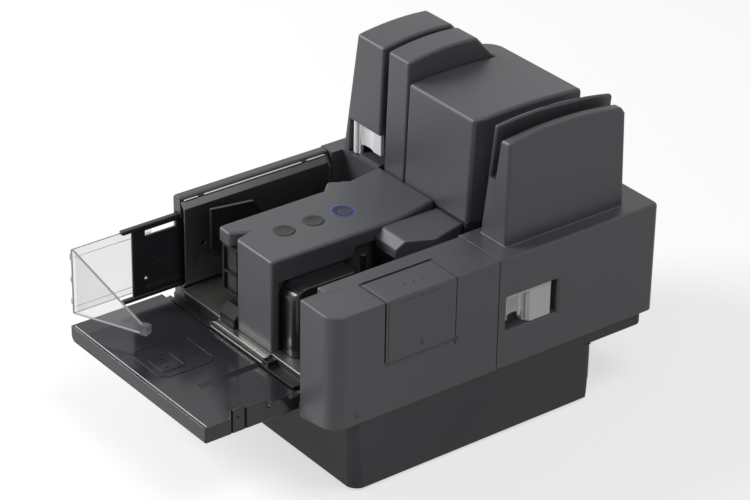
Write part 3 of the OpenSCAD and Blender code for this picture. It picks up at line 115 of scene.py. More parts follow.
def moulded_plastic(name, colour, roughness, grain_mm, grain_depth, level=0.5, mottle=0.06):
    """A moulded plastic: its tool's grain as bump, and a slight change of tone and gloss."""
    tree = new_material(name)
    place = add_node(tree, "ShaderNodeTexCoord")
    grain = add_node(tree, "ShaderNodeTexNoise", {"Scale": 1000 / grain_mm, "Detail": 3.0,
                                                  "Roughness": 0.6}, {"Vector": place.outputs["Object"]})
    flow = add_node(tree, "ShaderNodeTexNoise", {"Scale": 14.0, "Detail": 3.0},
                    {"Vector": place.outputs["Object"]})
    tone = add_node(tree, "ShaderNodeValToRGB", None, {"Fac": flow.outputs["Fac"]})
    base = linear(colour)
    for stop, where, share in zip(tone.color_ramp.elements, (0.3, 0.7), (1 - mottle, 1 + mottle)):
        stop.position = where
        stop.color = [c * share for c in base[:3]] + [1]
    speck = add_node(tree, "ShaderNodeMix", {"data_type": "RGBA", "blend_type": "MULTIPLY", 0: 0.25},
                     {6: tone.outputs["Color"], 7: grain.outputs["Fac"]})
    lift = add_node(tree, "ShaderNodeMix", {"data_type": "RGBA", "blend_type": "ADD", 0: 0.12},
                    {6: speck.outputs[2], 7: tone.outputs["Color"]})
    gloss = add_node(tree, "ShaderNodeMapRange", {"From Min": 0.3, "From Max": 0.7,
                                                  "To Min": roughness - 0.04, "To Max": roughness + 0.05},
                     {"Value": flow.outputs["Fac"]})
    bump = add_node(tree, "ShaderNodeBump", {"Strength": 0.35, "Distance": grain_depth / 1000},
                    {"Height": grain.outputs["Fac"]})
    skin = add_node(tree, "ShaderNodeBsdfPrincipled", {"Specular IOR Level": level},
                    {"Base Color": lift.outputs[2], "Roughness": gloss.outputs["Result"],
                     "Normal": bump.outputs["Normal"]})
    close_material(tree, skin)


def rolled_steel(name, colour, roughness, along_mm, across_mm):
    """Sheet steel with the fine drawn lines of its rolling, longer along than across."""
    tree = new_material(name)
    place = add_node(tree, "ShaderNodeTexCoord")
    stretch = add_node(tree, "ShaderNodeMapping",
                       {"Scale": (1000 / across_mm, 1000 / along_mm, 1000 / across_mm)},
                       {"Vector": place.outputs["Object"]})
    lines = add_node(tree, "ShaderNodeTexNoise", {"Scale": 1.0, "Detail": 4.0},
                     {"Vector": stretch.outputs[0]})
    stain = add_node(tree, "ShaderNodeTexNoise", {"Scale": 22.0, "Detail": 2.0},
                     {"Vector": place.outputs["Object"]})
    tone = add_node(tree, "ShaderNodeValToRGB", None, {"Fac": stain.outputs["Fac"]})
    base = linear(colour)
    tone.color_ramp.elements[0].color = [c * 0.88 for c in base[:3]] + [1]
    tone.color_ramp.elements[1].color = [min(1, c * 1.08) for c in base[:3]] + [1]
    gloss = add_node(tree, "ShaderNodeMapRange", {"To Min": roughness * 0.75, "To Max": roughness * 1.35},
                     {"Value": lines.outputs["Fac"]})
    bump = add_node(tree, "ShaderNodeBump", {"Strength": 0.12, "Distance": 0.00005},
                    {"Height": lines.outputs["Fac"]})
    skin = add_node(tree, "ShaderNodeBsdfPrincipled", {"Metallic": 1.0},
                    {"Base Color": tone.outputs["Color"], "Roughness": gloss.outputs["Result"],
                     "Normal": bump.outputs["Normal"]})
    close_material(tree, skin)


def clear_plastic(name, colour, roughness, haze, through=1.0):
    """Clear moulded plastic or glass: light goes through, with faint flow marks in gloss and haze."""
    tree = new_material(name)
    place = add_node(tree, "ShaderNodeTexCoord")
    flow = add_node(tree, "ShaderNodeTexNoise", {"Scale": 30.0, "Detail": 1.0},
                    {"Vector": place.outputs["Object"]})
    gloss = add_node(tree, "ShaderNodeMapRange", {"To Min": roughness * 0.5, "To Max": roughness * 1.5},
                     {"Value": flow.outputs["Fac"]})
    cover = add_node(tree, "ShaderNodeMapRange", {"To Min": haze * 0.85, "To Max": haze * 1.15},
                     {"Value": flow.outputs["Fac"]})
    skin = add_node(tree, "ShaderNodeBsdfPrincipled",
                    {"Base Color": linear(colour), "Transmission Weight": through, "IOR": 1.5},
                    {"Roughness": gloss.outputs["Result"], "Alpha": cover.outputs["Result"]})
    close_material(tree, skin)


def make_materials(settings):
    """All finishes of the scanner, each for one real material."""
    # Acrylonitrile butadiene styrene (ABS) from a spark-eroded tool: matt, with a fine even grain.
    # The real grain is about 0.2 mm; it is drawn at 0.9 mm, so that a little of it shows.
    moulded_plastic("charcoal_abs", "525357", settings.cover_roughness, 0.9, 0.05)
    # The same plastic made darker on the base: painted shade, for base walls that lean inward with their
    # draft.
    moulded_plastic("base_abs", "3a3a3e", 0.58, 0.9, 0.05, 0.4)
    # ABS from a finely stoned tool: the tray's wipeable top, smoother and glossier.
    moulded_plastic("tray_abs", "35363a", 0.15, 1.4, 0.005, 0.38)
    # Painted highlight: light grey plastic for the light caught by the tray's polished edge line and for
    # the reflections along the sill; the real edge and sill are dark.
    moulded_plastic("painted_highlight_abs", "dcdde0", 0.3, 1.4, 0.01)
    # Acetal from a polished tool, for the parts with a high gloss.
    moulded_plastic("gloss_acetal", "232427", 0.22, 1.8, 0.006)
    # Acetal, unpainted black, for the parts that paper slides on: smooth and slightly waxy.
    moulded_plastic("black_acetal", "1c1d1f", 0.36, 1.6, 0.012)
    # Glass-filled nylon of the separator frame: near black and dull.
    moulded_plastic("separator_nylon", "222326", 0.55, 1.0, 0.02, 0.2)
    # Glass-filled nylon of inner frames: dark and dull.
    moulded_plastic("frame_nylon", "2c2d30", 0.55, 1.2, 0.04, 0.4)
    # Polycarbonate and ABS blend of the sliding guide plate: dark, satin.
    moulded_plastic("guide_pc_abs", "242529", 0.38, 1.2, 0.02)
    # Satin ABS of the push buttons.
    moulded_plastic("button_abs", "38393b", 0.5, 0.9, 0.02, 0.3)
    # White-pigmented ABS of both levers.
    moulded_plastic("lever_abs", "fafafc", 0.35, 1.0, 0.02, 0.4, 0.02)
    # Blue polycarbonate light pipe round the third button.
    moulded_plastic("ring_polycarbonate", "3a6cf0", 0.3, 2.0, 0.01)
    # Polypropylene ink cartridge.
    moulded_plastic("cartridge_polypropylene", "264a86", 0.4, 1.4, 0.02)
    # Stainless sheet under the paper, rolled bright.
    rolled_steel("floor_stainless", "a8a6a2", 0.4, 40, 0.6)
    # Dark brushed stainless of the hopper's lining; its warm tint is a painted reflection of what it
    # mirrors.
    rolled_steel("liner_stainless", "706f6d", 0.42, 40, 0.5)
    # Bright spring-steel strip on the liner's rim.
    rolled_steel("strip_stainless", "dcd6d1", 0.28, 30, 0.8)
    # Turned or zinc-plated steel of pins, screws and the motor can.
    rolled_steel("plated_steel", "b9b9bb", 0.32, 6, 0.5)
    # Cold-drawn steel post, blackened in an oxide bath.
    rolled_steel("blackened_steel", "4a4a4d", 0.35, 8, 0.5)
    # Clear polycarbonate of the end guide: a sheet this thin bends light too little to see, so it
    # is drawn as a thin haze and gloss over what lies behind.
    clear_plastic("clear_polycarbonate", "f4f6f8", 0.12, 0.15, 0.0)
    # The same plastic at its edges and ribs, where the light that the sheet gathers comes out white:
    # painted light, drawn as an opaque near-white plastic.
    moulded_plastic("edge_highlight_polycarbonate", "dfe2e6", 0.3, 1.2, 0.01, 0.5, 0.03)
    # Hard-coated glass of the scan windows.
    clear_plastic("scan_glass", "dfe9ea", 0.01, 1.0)
    # Epoxy board under green solder mask.
    moulded_plastic("solder_mask", "2a6b42", 0.32, 2.5, 0.03)
    # Synthetic rubber: feet, and the toothed belt.
    moulded_plastic("foot_rubber", "1b1b1c", 0.75, 0.8, 0.08, 0.3)
    # Polyurethane tyres of the drive rollers, ground to a dull grey black.
    moulded_plastic("roller_polyurethane", "3a3a3c", 0.62, 0.7, 0.08, 0.3)
    # Cork-filled rubber of the retard roller, reddish brown.
    moulded_plastic("retard_cork_rubber", "8a4a34", 0.8, 0.9, 0.1, 0.3, 0.15)


# Modelling helpers

def pick(piece):
    """Leaves edit mode, deselects everything and makes this the only selected, active object."""
    pick_nothing()
    piece.hide_set(False)
    piece.select_set(True)
    bpy.context.view_layer.objects.active = piece


def pick_nothing():
    """Leaves edit mode and deselects everything."""
    if bpy.context.object and bpy.context.object.mode != "OBJECT":
        bpy.ops.object.mode_set(mode="OBJECT")
    bpy.ops.object.select_all(action="DESELECT")


def edit(piece, selected="NONE"):
    """Opens a piece in edit mode with all or nothing selected, and gives its edit mesh."""
    pick(piece)
    bpy.ops.object.mode_set(mode="EDIT")
    bpy.ops.mesh.select_mode(type="VERT")
    bpy.ops.mesh.select_all(action="SELECT" if selected == "ALL" else "DESELECT")
    return bmesh.from_edit_mesh(piece.data)


def close_edit(piece):
    """Goes back to object mode, and gives the piece."""
    bpy.ops.object.mode_set(mode="OBJECT")
    return piece


def settle(piece):
    """Puts the piece's object at the origin, unturned and unscaled, with its place in its mesh."""
    pick(piece)
    bpy.ops.object.transform_apply(location=True, rotation=True, scale=True)
    return piece


# Corners closer than this, in metres, are one, and faces within this angle are one flat face.
ONE_PLACE = 0.000005
ONE_FACE = math.radians(0.4)


def copy_of_node(node):
    """A new piece with a node's shape, its loose triangles merged and its flat faces made whole."""
    piece = bpy.data.objects.new(node + "_skin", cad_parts[node].data.copy())
    bpy.context.scene.collection.objects.link(piece)
    piece.data.materials.clear()
    edit(piece, "ALL")
    bpy.ops.mesh.remove_doubles(threshold=ONE_PLACE)
    bpy.ops.mesh.dissolve_limited(angle_limit=ONE_FACE)
    return close_edit(piece)


def apply_all(piece):
    """Applies all of a piece's modifiers."""
    pick(piece)
    for modifier in list(piece.modifiers):
        bpy.ops.object.modifier_apply(modifier=modifier.name)
    return piece


# The largest rounding and the hair of rounding along a seam, in millimetres; the share of the next
# edge that a rounding may take up; and the angle from which an edge counts as one.
LARGEST = 4.0
HAIR = 0.35
ROOM_SHARE = 0.45
EDGE_ANGLE = math.radians(25)
# An edge with a wall this close in front of it, in metres, lies in a seam and stays sharp.
SEAM_FROM, SEAM_TO = 0.0002, 0.002


def room_beside(edge):
    """How far an edge can be rounded before it meets the next one, in millimetres."""
    way = (edge.verts[1].co - edge.verts[0].co).normalized()
    room = LARGEST
    for vert in edge.verts:
        for other in vert.link_edges:
            line = other.other_vert(vert).co - vert.co
            if other != edge and abs(line.normalized().dot(way)) < 0.85:
                room = min(room, ROOM_SHARE * 1000 * line.length)
    return room


def soften(piece, top, side, inner=0.6, low=0.4, fine=None, skip=None):
    """Rounds a moulded piece: top edges, standing edges, inner corners and all others by these
    radii in millimetres; fine says where only a hair of rounding is left, as along a seam, and
    skip where an edge stays sharp, out of sight or in a hole."""
    mesh = edit(piece)
    mesh.normal_update()
    marks = (mesh.edges.layers.float.get("bevel_weight_edge")
             or mesh.edges.layers.float.new("bevel_weight_edge"))
    walls = BVHTree.FromBMesh(mesh)
    for edge in mesh.edges:
        if len(edge.link_faces) != 2:
            continue
        turn = edge.calc_face_angle_signed(0)
        if abs(turn) < EDGE_ANGLE:
            continue
        normals = [face.normal for face in edge.link_faces]
        out = (normals[0] + normals[1]).normalized()
        middle = (edge.verts[0].co + edge.verts[1].co) / 2
        if walls.ray_cast(middle + out * SEAM_FROM, out, SEAM_TO)[0] is not None:
            continue
        way = (edge.verts[1].co - edge.verts[0].co).normalized()
        if turn < 0:
            radius = inner
        elif max(normal.z for normal in normals) > 0.6:
            radius = top
        else:
            radius = side if abs(way.z) > 0.6 else low
        if skip and skip(from_frame(middle)):
            continue
        if fine and fine(from_frame(middle)):
            radius = min(radius, HAIR)
        edge[marks] = min(radius, room_beside(edge)) / LARGEST
    close_edit(piece)
    bevel = piece.modifiers.new("Rounded edges", "BEVEL")
    bevel.width = LARGEST / 1000
    bevel.segments = 3
    bevel.limit_method = "WEIGHT"
    bevel.use_clamp_overlap = False
    bevel.loop_slide = False
    return apply_all(piece)


def block(name, low, high, edge=0.3, steps=2):
    """A bar or plate between two corners in millimetres, its edges rounded."""
    pick_nothing()
    bpy.ops.mesh.primitive_cube_add(size=1, location=at(*[(a + b) / 2 for a, b in zip(low, high)]))
    piece = bpy.context.object
    piece.name = name
    piece.scale = [(b - a) / 1000 for a, b in zip(low, high)]
    settle(piece)
    edit(piece, "ALL")
    bpy.ops.mesh.bevel(offset=edge / 1000, segments=steps, affect="EDGES")
    return close_edit(piece)


def stud(name, place, radius, height, edge=0.3):
    """A round stud that stands with its foot's middle at a place, its rims rounded."""
    pick_nothing()
    bpy.ops.mesh.primitive_cylinder_add(vertices=32, radius=radius / 1000, depth=height / 1000,
                                        location=at(*place) + AXES["Z"] * height / 2000)
    piece = bpy.context.object
    piece.name = name
    settle(piece)
    mesh = edit(piece)
    bpy.ops.mesh.select_mode(type="EDGE")
    for rim in mesh.edges:
        rim.select = any(len(face.verts) > 4 for face in rim.link_faces)
    mesh.select_flush_mode()
    bmesh.update_edit_mesh(piece.data)
    bpy.ops.mesh.bevel(offset=edge / 1000, segments=3, affect="EDGES")
    return close_edit(piece)


def plate(name, points, axis, low, high, edge=0.25):
    """A plate with this outline across an axis, between two places on it, its edges rounded."""
    pick_nothing()
    bpy.ops.mesh.primitive_circle_add(vertices=len(points), fill_type="NGON")
    piece = bpy.context.object
    piece.name = name
    settle(piece)
    mesh = edit(piece, "ALL")
    for vert, (a, b) in zip(mesh.verts, points):
        vert.co = at(*{"X": (low, a, b), "Y": (a, low, b), "Z": (a, b, low)}[axis])
    bmesh.update_edit_mesh(piece.data)
    bpy.ops.mesh.extrude_region_move(
        TRANSFORM_OT_translate={"value": AXES[axis] * (high - low) / 1000})
    bpy.ops.mesh.select_all(action="SELECT")
    bpy.ops.mesh.normals_make_consistent(inside=False)
    if edge:
        bpy.ops.mesh.bevel(offset=edge / 1000, segments=2, affect="EDGES")
    return close_edit(piece)


def ring_of(name, place, radius, thick, axis="Z"):
    """A round rim or bead of this thickness round a place."""
    pick_nothing()
    turned = AXES[axis].to_track_quat("Z", "Y").to_euler()
    bpy.ops.mesh.primitive_torus_add(location=at(*place), rotation=turned, major_segments=40,
                                     minor_segments=10, major_radius=radius / 1000,
                                     minor_radius=thick / 2000)
    piece = bpy.context.object
    piece.name = name
    return settle(piece)


def bar(name, start, end, thick, edge=0.25):
    """A square bar of this thickness between two places, its edges rounded."""
    pick_nothing()
    start, end = at(*start), at(*end)
    line = end - start
    bpy.ops.mesh.primitive_cube_add(size=1, location=(start + end) / 2)
    piece = bpy.context.object
    piece.name = name
    piece.rotation_mode = "QUATERNION"
    piece.rotation_quaternion = line.to_track_quat("Z", "Y")
    piece.scale = (thick / 1000, thick / 1000, line.length)
    settle(piece)
    edit(piece, "ALL")
    bpy.ops.mesh.bevel(offset=edge / 1000, segments=2, affect="EDGES")
    return close_edit(piece)


def joined(name, *parts):
    """Several parts as one piece."""
    pick_nothing()
    for part in parts:
        part.select_set(True)
    bpy.context.view_layer.objects.active = parts[0]
    bpy.ops.object.join()
    parts[0].name = name
    return parts[0]


def surface(piece, x, y, z=400, way=(0, 0, -1)):
    """The place in millimetres at which a line from here meets the piece."""
    bpy.context.view_layer.update()
    struck, place = piece.ray_cast(at(x, y, z), Vector(way))[:2]
    if not struck:
        raise RuntimeError(f"nothing of {piece.name} beyond {x}, {y}, {z}")
    return from_frame(place)


# Edges up to this angle are shaded round, but beside a large face, in square metres, only up to the
# smaller angle.
ROUND_ANGLE = math.radians(40)
LARGE_FACE = 0.0001
FLAT_ANGLE = math.radians(13)


def smooth(piece):
    """Smooth shading with flat faces kept flat."""
    pick(piece)
    bpy.ops.object.shade_smooth_by_angle(angle=ROUND_ANGLE)
    mesh = edit(piece)
    for edge in mesh.edges:
        if (len(edge.link_faces) == 2 and edge.calc_face_angle(0) > FLAT_ANGLE
                and max(face.calc_area() for face in edge.link_faces) > LARGE_FACE):
            edge.smooth = False
    bmesh.update_edit_mesh(piece.data)
    close_edit(piece)
    weights = piece.modifiers.new("Flat faces", "WEIGHTED_NORMAL")
    weights.mode = "FACE_AREA"
    weights.weight = 80
    weights.keep_sharp = True
    return apply_all(piece)


def cut(piece, cutter):
    """Takes the cutter's shape out of a piece, and removes the cutter."""
    boolean = piece.modifiers.new("Cut", "BOOLEAN")
    boolean.operation = "DIFFERENCE"
    boolean.solver = "EXACT"
    boolean.object = cutter
    apply_all(piece)
    bpy.data.objects.remove(cutter, do_unlink=True)
    return piece


def dress(piece, body, slot, material, *nodes):
    """Gives a finished piece its body and its material, and the nodes that it stands for; the slot is not
    used.
    """
    piece.data.materials.clear()
    piece.data.materials.append(MATERIALS[material])
    for face in piece.data.polygons:
        face.material_index = 0
    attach(piece, body)
    if nodes:
        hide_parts(*nodes)
    return piece


def finish_node(node, material):
    """Gives a CAD node that stays its real material."""
    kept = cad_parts[node]
    if not kept.material_slots:
        kept.data.materials.append(MATERIALS[material])
    for place in kept.material_slots:
        place.material = MATERIALS[material]


def cover(node, body, slot, material, top, side, **rounding):
    """A moulded cover with the node's own shape and rounded edges, in the node's place."""
    piece = copy_of_node(node)
    for cutter in rounding.pop("cutters", ()):
        cut(piece, cutter)
    soften(piece, top, side, **rounding)
    smooth(piece)
    return dress(piece, body, slot, material, node)


def detail(piece, body, slot, material):
    """A small part added to its body."""
    smooth(piece)
    return dress(piece, body, slot, material)


# Settings

class ScannerSettings(bpy.types.PropertyGroup):
    """What a user of the scanner would change"""
    cover_edge: FloatProperty(name="Cover edge radius", description="Softening of the cover edges",
                              default=0.0025, min=0.0006, max=0.0035, unit="LENGTH")
    cover_roughness: FloatProperty(name="Cover roughness", description="Mattness of the covers",
                                   default=0.43, min=0.2, max=1.0, subtype="FACTOR")


class StudioSettings(bpy.types.PropertyGroup):
    """Light and floor of the studio"""
    key_power: FloatProperty(name="Key power", description="Power of the large front light",
                             default=98.0, min=0.0, unit="POWER")
    fill_level: FloatProperty(name="Fill level", description="Brightness of the room's own light",
                              default=0.15, min=0.0, max=1.0)
    backdrop: FloatVectorProperty(name="Backdrop", description="Colour behind the scanner",
                                  default=(1.0, 1.0, 1.0), subtype="COLOR", size=3)


# Pieces

# Slot and material of the grey covers.
HOUSING = ("housing_plastic", "charcoal_abs")

# The buttons' axes, and how far round them the panel's edges stay sharp.
BUTTON_X = -19.5
BUTTON_Y = (58.8, 90.1, 121.4)
BUTTON_ROOM = 14
# The top of the panel and of the low covers, where towers and strip begin.
COVER_TOP = 180
# Corners of the pusher plate from its front, as shares of its length and height.
PUSHER_OUTLINE = ((0, 0.473), (0, 1), (0.461, 0.932), (0.573, 0.73), (0.715, 0.405), (1, 0.162),
                  (1, 0), (0.339, 0), (0.187, 0.23))


class SCANNER_OT_base(bpy.types.Operator):
    """Make the drafted base with its softened corners"""
    bl_idname = "scanner.base"
    bl_label = "Base"

    def execute(self, context):
        # Sharp where covers hide it, and in front, where the cutters round the corners.
        cover("base_housing", "body", "housing_plastic", "base_abs", 1.2, 2.0, inner=1.0, low=2.2,
              skip=lambda p: p.z > 68 or p.y < 60,
              cutters=[self.corner_cutter(-1), self.corner_cutter(1)])
        return {"FINISHED"}

    def corner_cutter(self, side):
        """What lies outside a round front corner that leans with the draft of both walls."""
        radius, over = 12, 15
        x, y = 116 * side, 38
        foot, top = 1.5, 73.5
        draft = Vector((3.5 * side, -5.2, 0)) / 1000
        outline = [(x, y - over), (x, y - radius)]
        for step in range(1, 10):
            angle = math.radians(9 * step)
            outline.append((x + radius * side * math.sin(angle), y - radius * math.cos(angle)))
        outline += [(x + radius * side, y), (x + over * side, y), (x + over * side, y - over)]
        cutter = plate("corner", outline, "Z", foot, top, 0)
        mesh = edit(cutter)
        for vert in mesh.verts:
            if from_frame(vert.co).z > top - 1:
                vert.co += draft
        bmesh.update_edit_mesh(cutter.data)
        return close_edit(cutter)


class SCANNER_OT_rear_covers(bpy.types.Operator):
    """Make the crowned towers, the strip, the centre block and the rear cover"""
    bl_idname = "scanner.rear_covers"
    bl_label = "Rear covers"

    def execute(self, context):
        edge = context.scene.scanner.cover_edge * 1000
        cover("centre_cover", "body", *HOUSING, 1.2 * edge, 1.2 * edge)
        cover("strip_cover", "body", *HOUSING, 0.9 * edge, 0.9 * edge,
              fine=lambda p: p.z < COVER_TOP + 1)
        # Sharp below the tower, and fine round the lever's window.
        cover("left_carriage", "left_carriage", *HOUSING, 0.92 * edge, edge, inner=0.8,
              skip=lambda p: p.z < COVER_TOP + 1,
              fine=lambda p: p.z < 216 and p.y < 197 and p.x > -110)
        # Fine at the seam with the front cover.
        carriage = cover("right_carriage", "right_carriage", *HOUSING, 1.1 * edge, 1.1 * edge,
                         inner=0.8, fine=lambda p: p.z < COVER_TOP + 1 and p.y < 182)
        cut(carriage, self.heel_cutter())
        smooth(carriage)
        cover("rear_cover", "body", *HOUSING, 0.7 * edge, 0.8 * edge)
        return {"FINISHED"}

    def heel_cutter(self):
        """What lies outside the round lower rear edge of the right carriage."""
        radius = 3.5
        low, high = box_of("right_carriage")
        outline = [(high.y + 1, low.z - 1), (high.y - radius, low.z - 1)]
        for step in range(7):
            angle = math.radians(15 * step)
            outline.append((high.y - radius + radius * math.sin(angle),
                            low.z + radius - radius * math.cos(angle)))
        outline.append((high.y + 1, low.z + radius))
        return plate("heel", outline, "X", low.x - 12, high.x + 8, 0)


class SCANNER_OT_front_covers(bpy.types.Operator):
    """Make the right front cover with its hatch, the left wall and the ramp block"""
    bl_idname = "scanner.front_covers"
    bl_label = "Front covers"

    def execute(self, context):
        edge = context.scene.scanner.cover_edge * 1000
        # Round only outside; the hatch's opening stays sharp, and the rear seam is fine.
        front = cover("front_cover", "body", *HOUSING, 0.8 * edge, 0.7 * edge, inner=0.5, low=0.8,
                      cutters=self.front_cutters(), fine=lambda p: p.y > 174,
                      skip=lambda p: (p.x > 92 and 54 < p.y < 172) or not (
                          p.x > 130.5 or p.y < 1.5 or p.z > 178.5 or p.z < 73))
        hatch = cover("hatch", "hatch", *HOUSING, 0.5, 0.6, inner=0.4, low=0.5,
                      cutters=[block("grip_line", (131.6, 72.6, 175.3), (134, 113.4, 176.1), 0.2)])
        dots = []
        for y in (85.8, 95.0, 104.2):
            rise = surface(hatch, 114.4, y).z
            dots.append(stud("dot", (114.4, y, rise - 0.6), 1.5, 1.2, 0.6))
        detail(joined("grip_dots", *dots), "hatch", *HOUSING)
        self.arrow_mark("hatch_mark", hatch, 93.5, 129.5, "hatch")
        self.arrow_mark("chin_mark", front, 25.8, 80.8, "body")
        cover("left_wall_cover", "body", *HOUSING, 0.6 * edge, 0.7 * edge,
              fine=lambda p: p.y > 179, skip=lambda p: p.z < 172 and p.y < 30)
        cover("ramp_block", "body", *HOUSING, 0.5 * edge, 0.5 * edge)
        return {"FINISHED"}

    def front_cutters(self):
        """The slanted scoop under the hatch, the slanted chin, and the slits beside the hatch."""
        low, high = box_of("hatch")
        inside, outside = high.x - 2.7, high.x + 2
        scoop = plate("scoop", [(inside, low.z + 1), (outside, low.z + 1),
                                (outside, low.z - 8.4), (inside, low.z - 0.4)],
                      "Y", low.y - 0.7, high.y + 0.1, 0)
        chin = plate("chin", [(80, 58), (136, 58), (136, 72), (126, 72), (84, 65)], "Y", -5, 19.2, 0)
        return [scoop, chin,
                block("slit", (low.x - 1.3, low.y - 0.3, high.z - 2.4),
                      (low.x + 0.3, high.y + 0.3, high.z + 3), 0),
                block("slit", (low.x - 1.3, low.y - 0.7, high.z - 2.4),
                      (outside, low.y + 0.3, high.z + 3), 0),
                block("slit", (high.x - 2.6, low.y - 0.7, low.z - 0.3),
                      (outside, low.y + 0.3, high.z - 2), 0)]

    def arrow_mark(self, name, wall, y, z, body):
        """A small raised arrow over a bar, the usual sign for a place to open, on a side wall."""
        x = surface(wall, 200, y, z, (-1, 0, 0)).x
        under, over, half = x - 0.3, x + 0.5, 1.6
        arrow = plate("arrow", [(y - half, z - 0.4), (y + half, z - 0.4), (y, z + 2.2)],
                      "X", under, over, 0.1)
        foot = block("foot", (under, y - half, z - 2.2), (over, y + half, z - 1.3), 0.1)
        detail(joined(name, arrow, foot), body, *HOUSING)


class SCANNER_OT_panel(bpy.types.Operator):
    """Make the control panel, its core, the buttons and the lit ring"""
    bl_idname = "scanner.panel"
    bl_label = "Control panel"

    def execute(self, context):
        edge = context.scene.scanner.cover_edge * 1000
        cover("panel_cover", "body", *HOUSING, edge, edge, low=0.8,
              skip=lambda p: (abs(p.x - BUTTON_X) < BUTTON_ROOM
                              and BUTTON_Y[0] - BUTTON_ROOM < p.y < BUTTON_Y[2] + BUTTON_ROOM))
        cover("feed_core", "body", *HOUSING, 0.5, 0.8)
        # Black rings sunk in the seams round the buttons: painted shade of the gaps, drawn wider than the
        # real gaps.
        gap_shades = []
        for node, body in (("front_button", "button_a"), ("middle_button", "button_b"),
                           ("power_button", "button_c")):
            cap = copy_of_node(node)
            places = [from_frame(vert.co) for vert in cap.data.vertices]
            top = max(place.z for place in places)
            reach = max(place.x for place in places if place.z > top - 0.1) - BUTTON_X
            middle = (BUTTON_X, BUTTON_Y[len(gap_shades)], COVER_TOP - 0.05)
            gap_shades.append(ring_of("gap", middle, reach + 0.35, 0.7))
            self.dish(cap)
            soften(cap, 0.7, 0.3)
            smooth(cap)
            dress(cap, body, "button_plastic", "button_abs", node)
        detail(joined("button_gap_shades", *gap_shades), "body", "dark_plastic", "black_acetal")
        finish_node("light_ring", "ring_polycarbonate")
        self.power_mark(surface(cap, BUTTON_X, BUTTON_Y[2]).z)
        return {"FINISHED"}

    def dish(self, cap):
        """Sinks the middle of a button's top a little, as a fingertip's rest."""
        mesh = edit(cap)
        bpy.ops.mesh.select_mode(type="FACE")
        top = max(mesh.faces, key=lambda face: face.calc_center_median().z)
        top.select = True
        mesh.select_flush(True)
        bmesh.update_edit_mesh(cap.data)
        rim, ring, fall = 0.0013, 0.0018, 0.0004
        bpy.ops.mesh.inset(thickness=rim, depth=0)
        for step in range(3):
            bpy.ops.mesh.inset(thickness=ring, depth=-fall / (step + 1))
        close_edit(cap)

    def power_mark(self, rise):
        """The usual open ring with its bar, lit blue, on the third button."""
        x, y = BUTTON_X, BUTTON_Y[2]
        arc = ring_of("open_ring", (x, y, rise - 0.02), 3.0, 0.5)
        cut(arc, block("gap", (x - 1.5, y + 1.2, rise - 2), (x + 1.5, y + 5, rise + 2), 0.1))
        bar = block("bar", (x - 0.3, y + 0.9, rise - 0.2), (x + 0.3, y + 4.0, rise + 0.2), 0.12)
        detail(joined("power_mark", arc, bar), "button_c", "light_ring", "ring_polycarbonate")


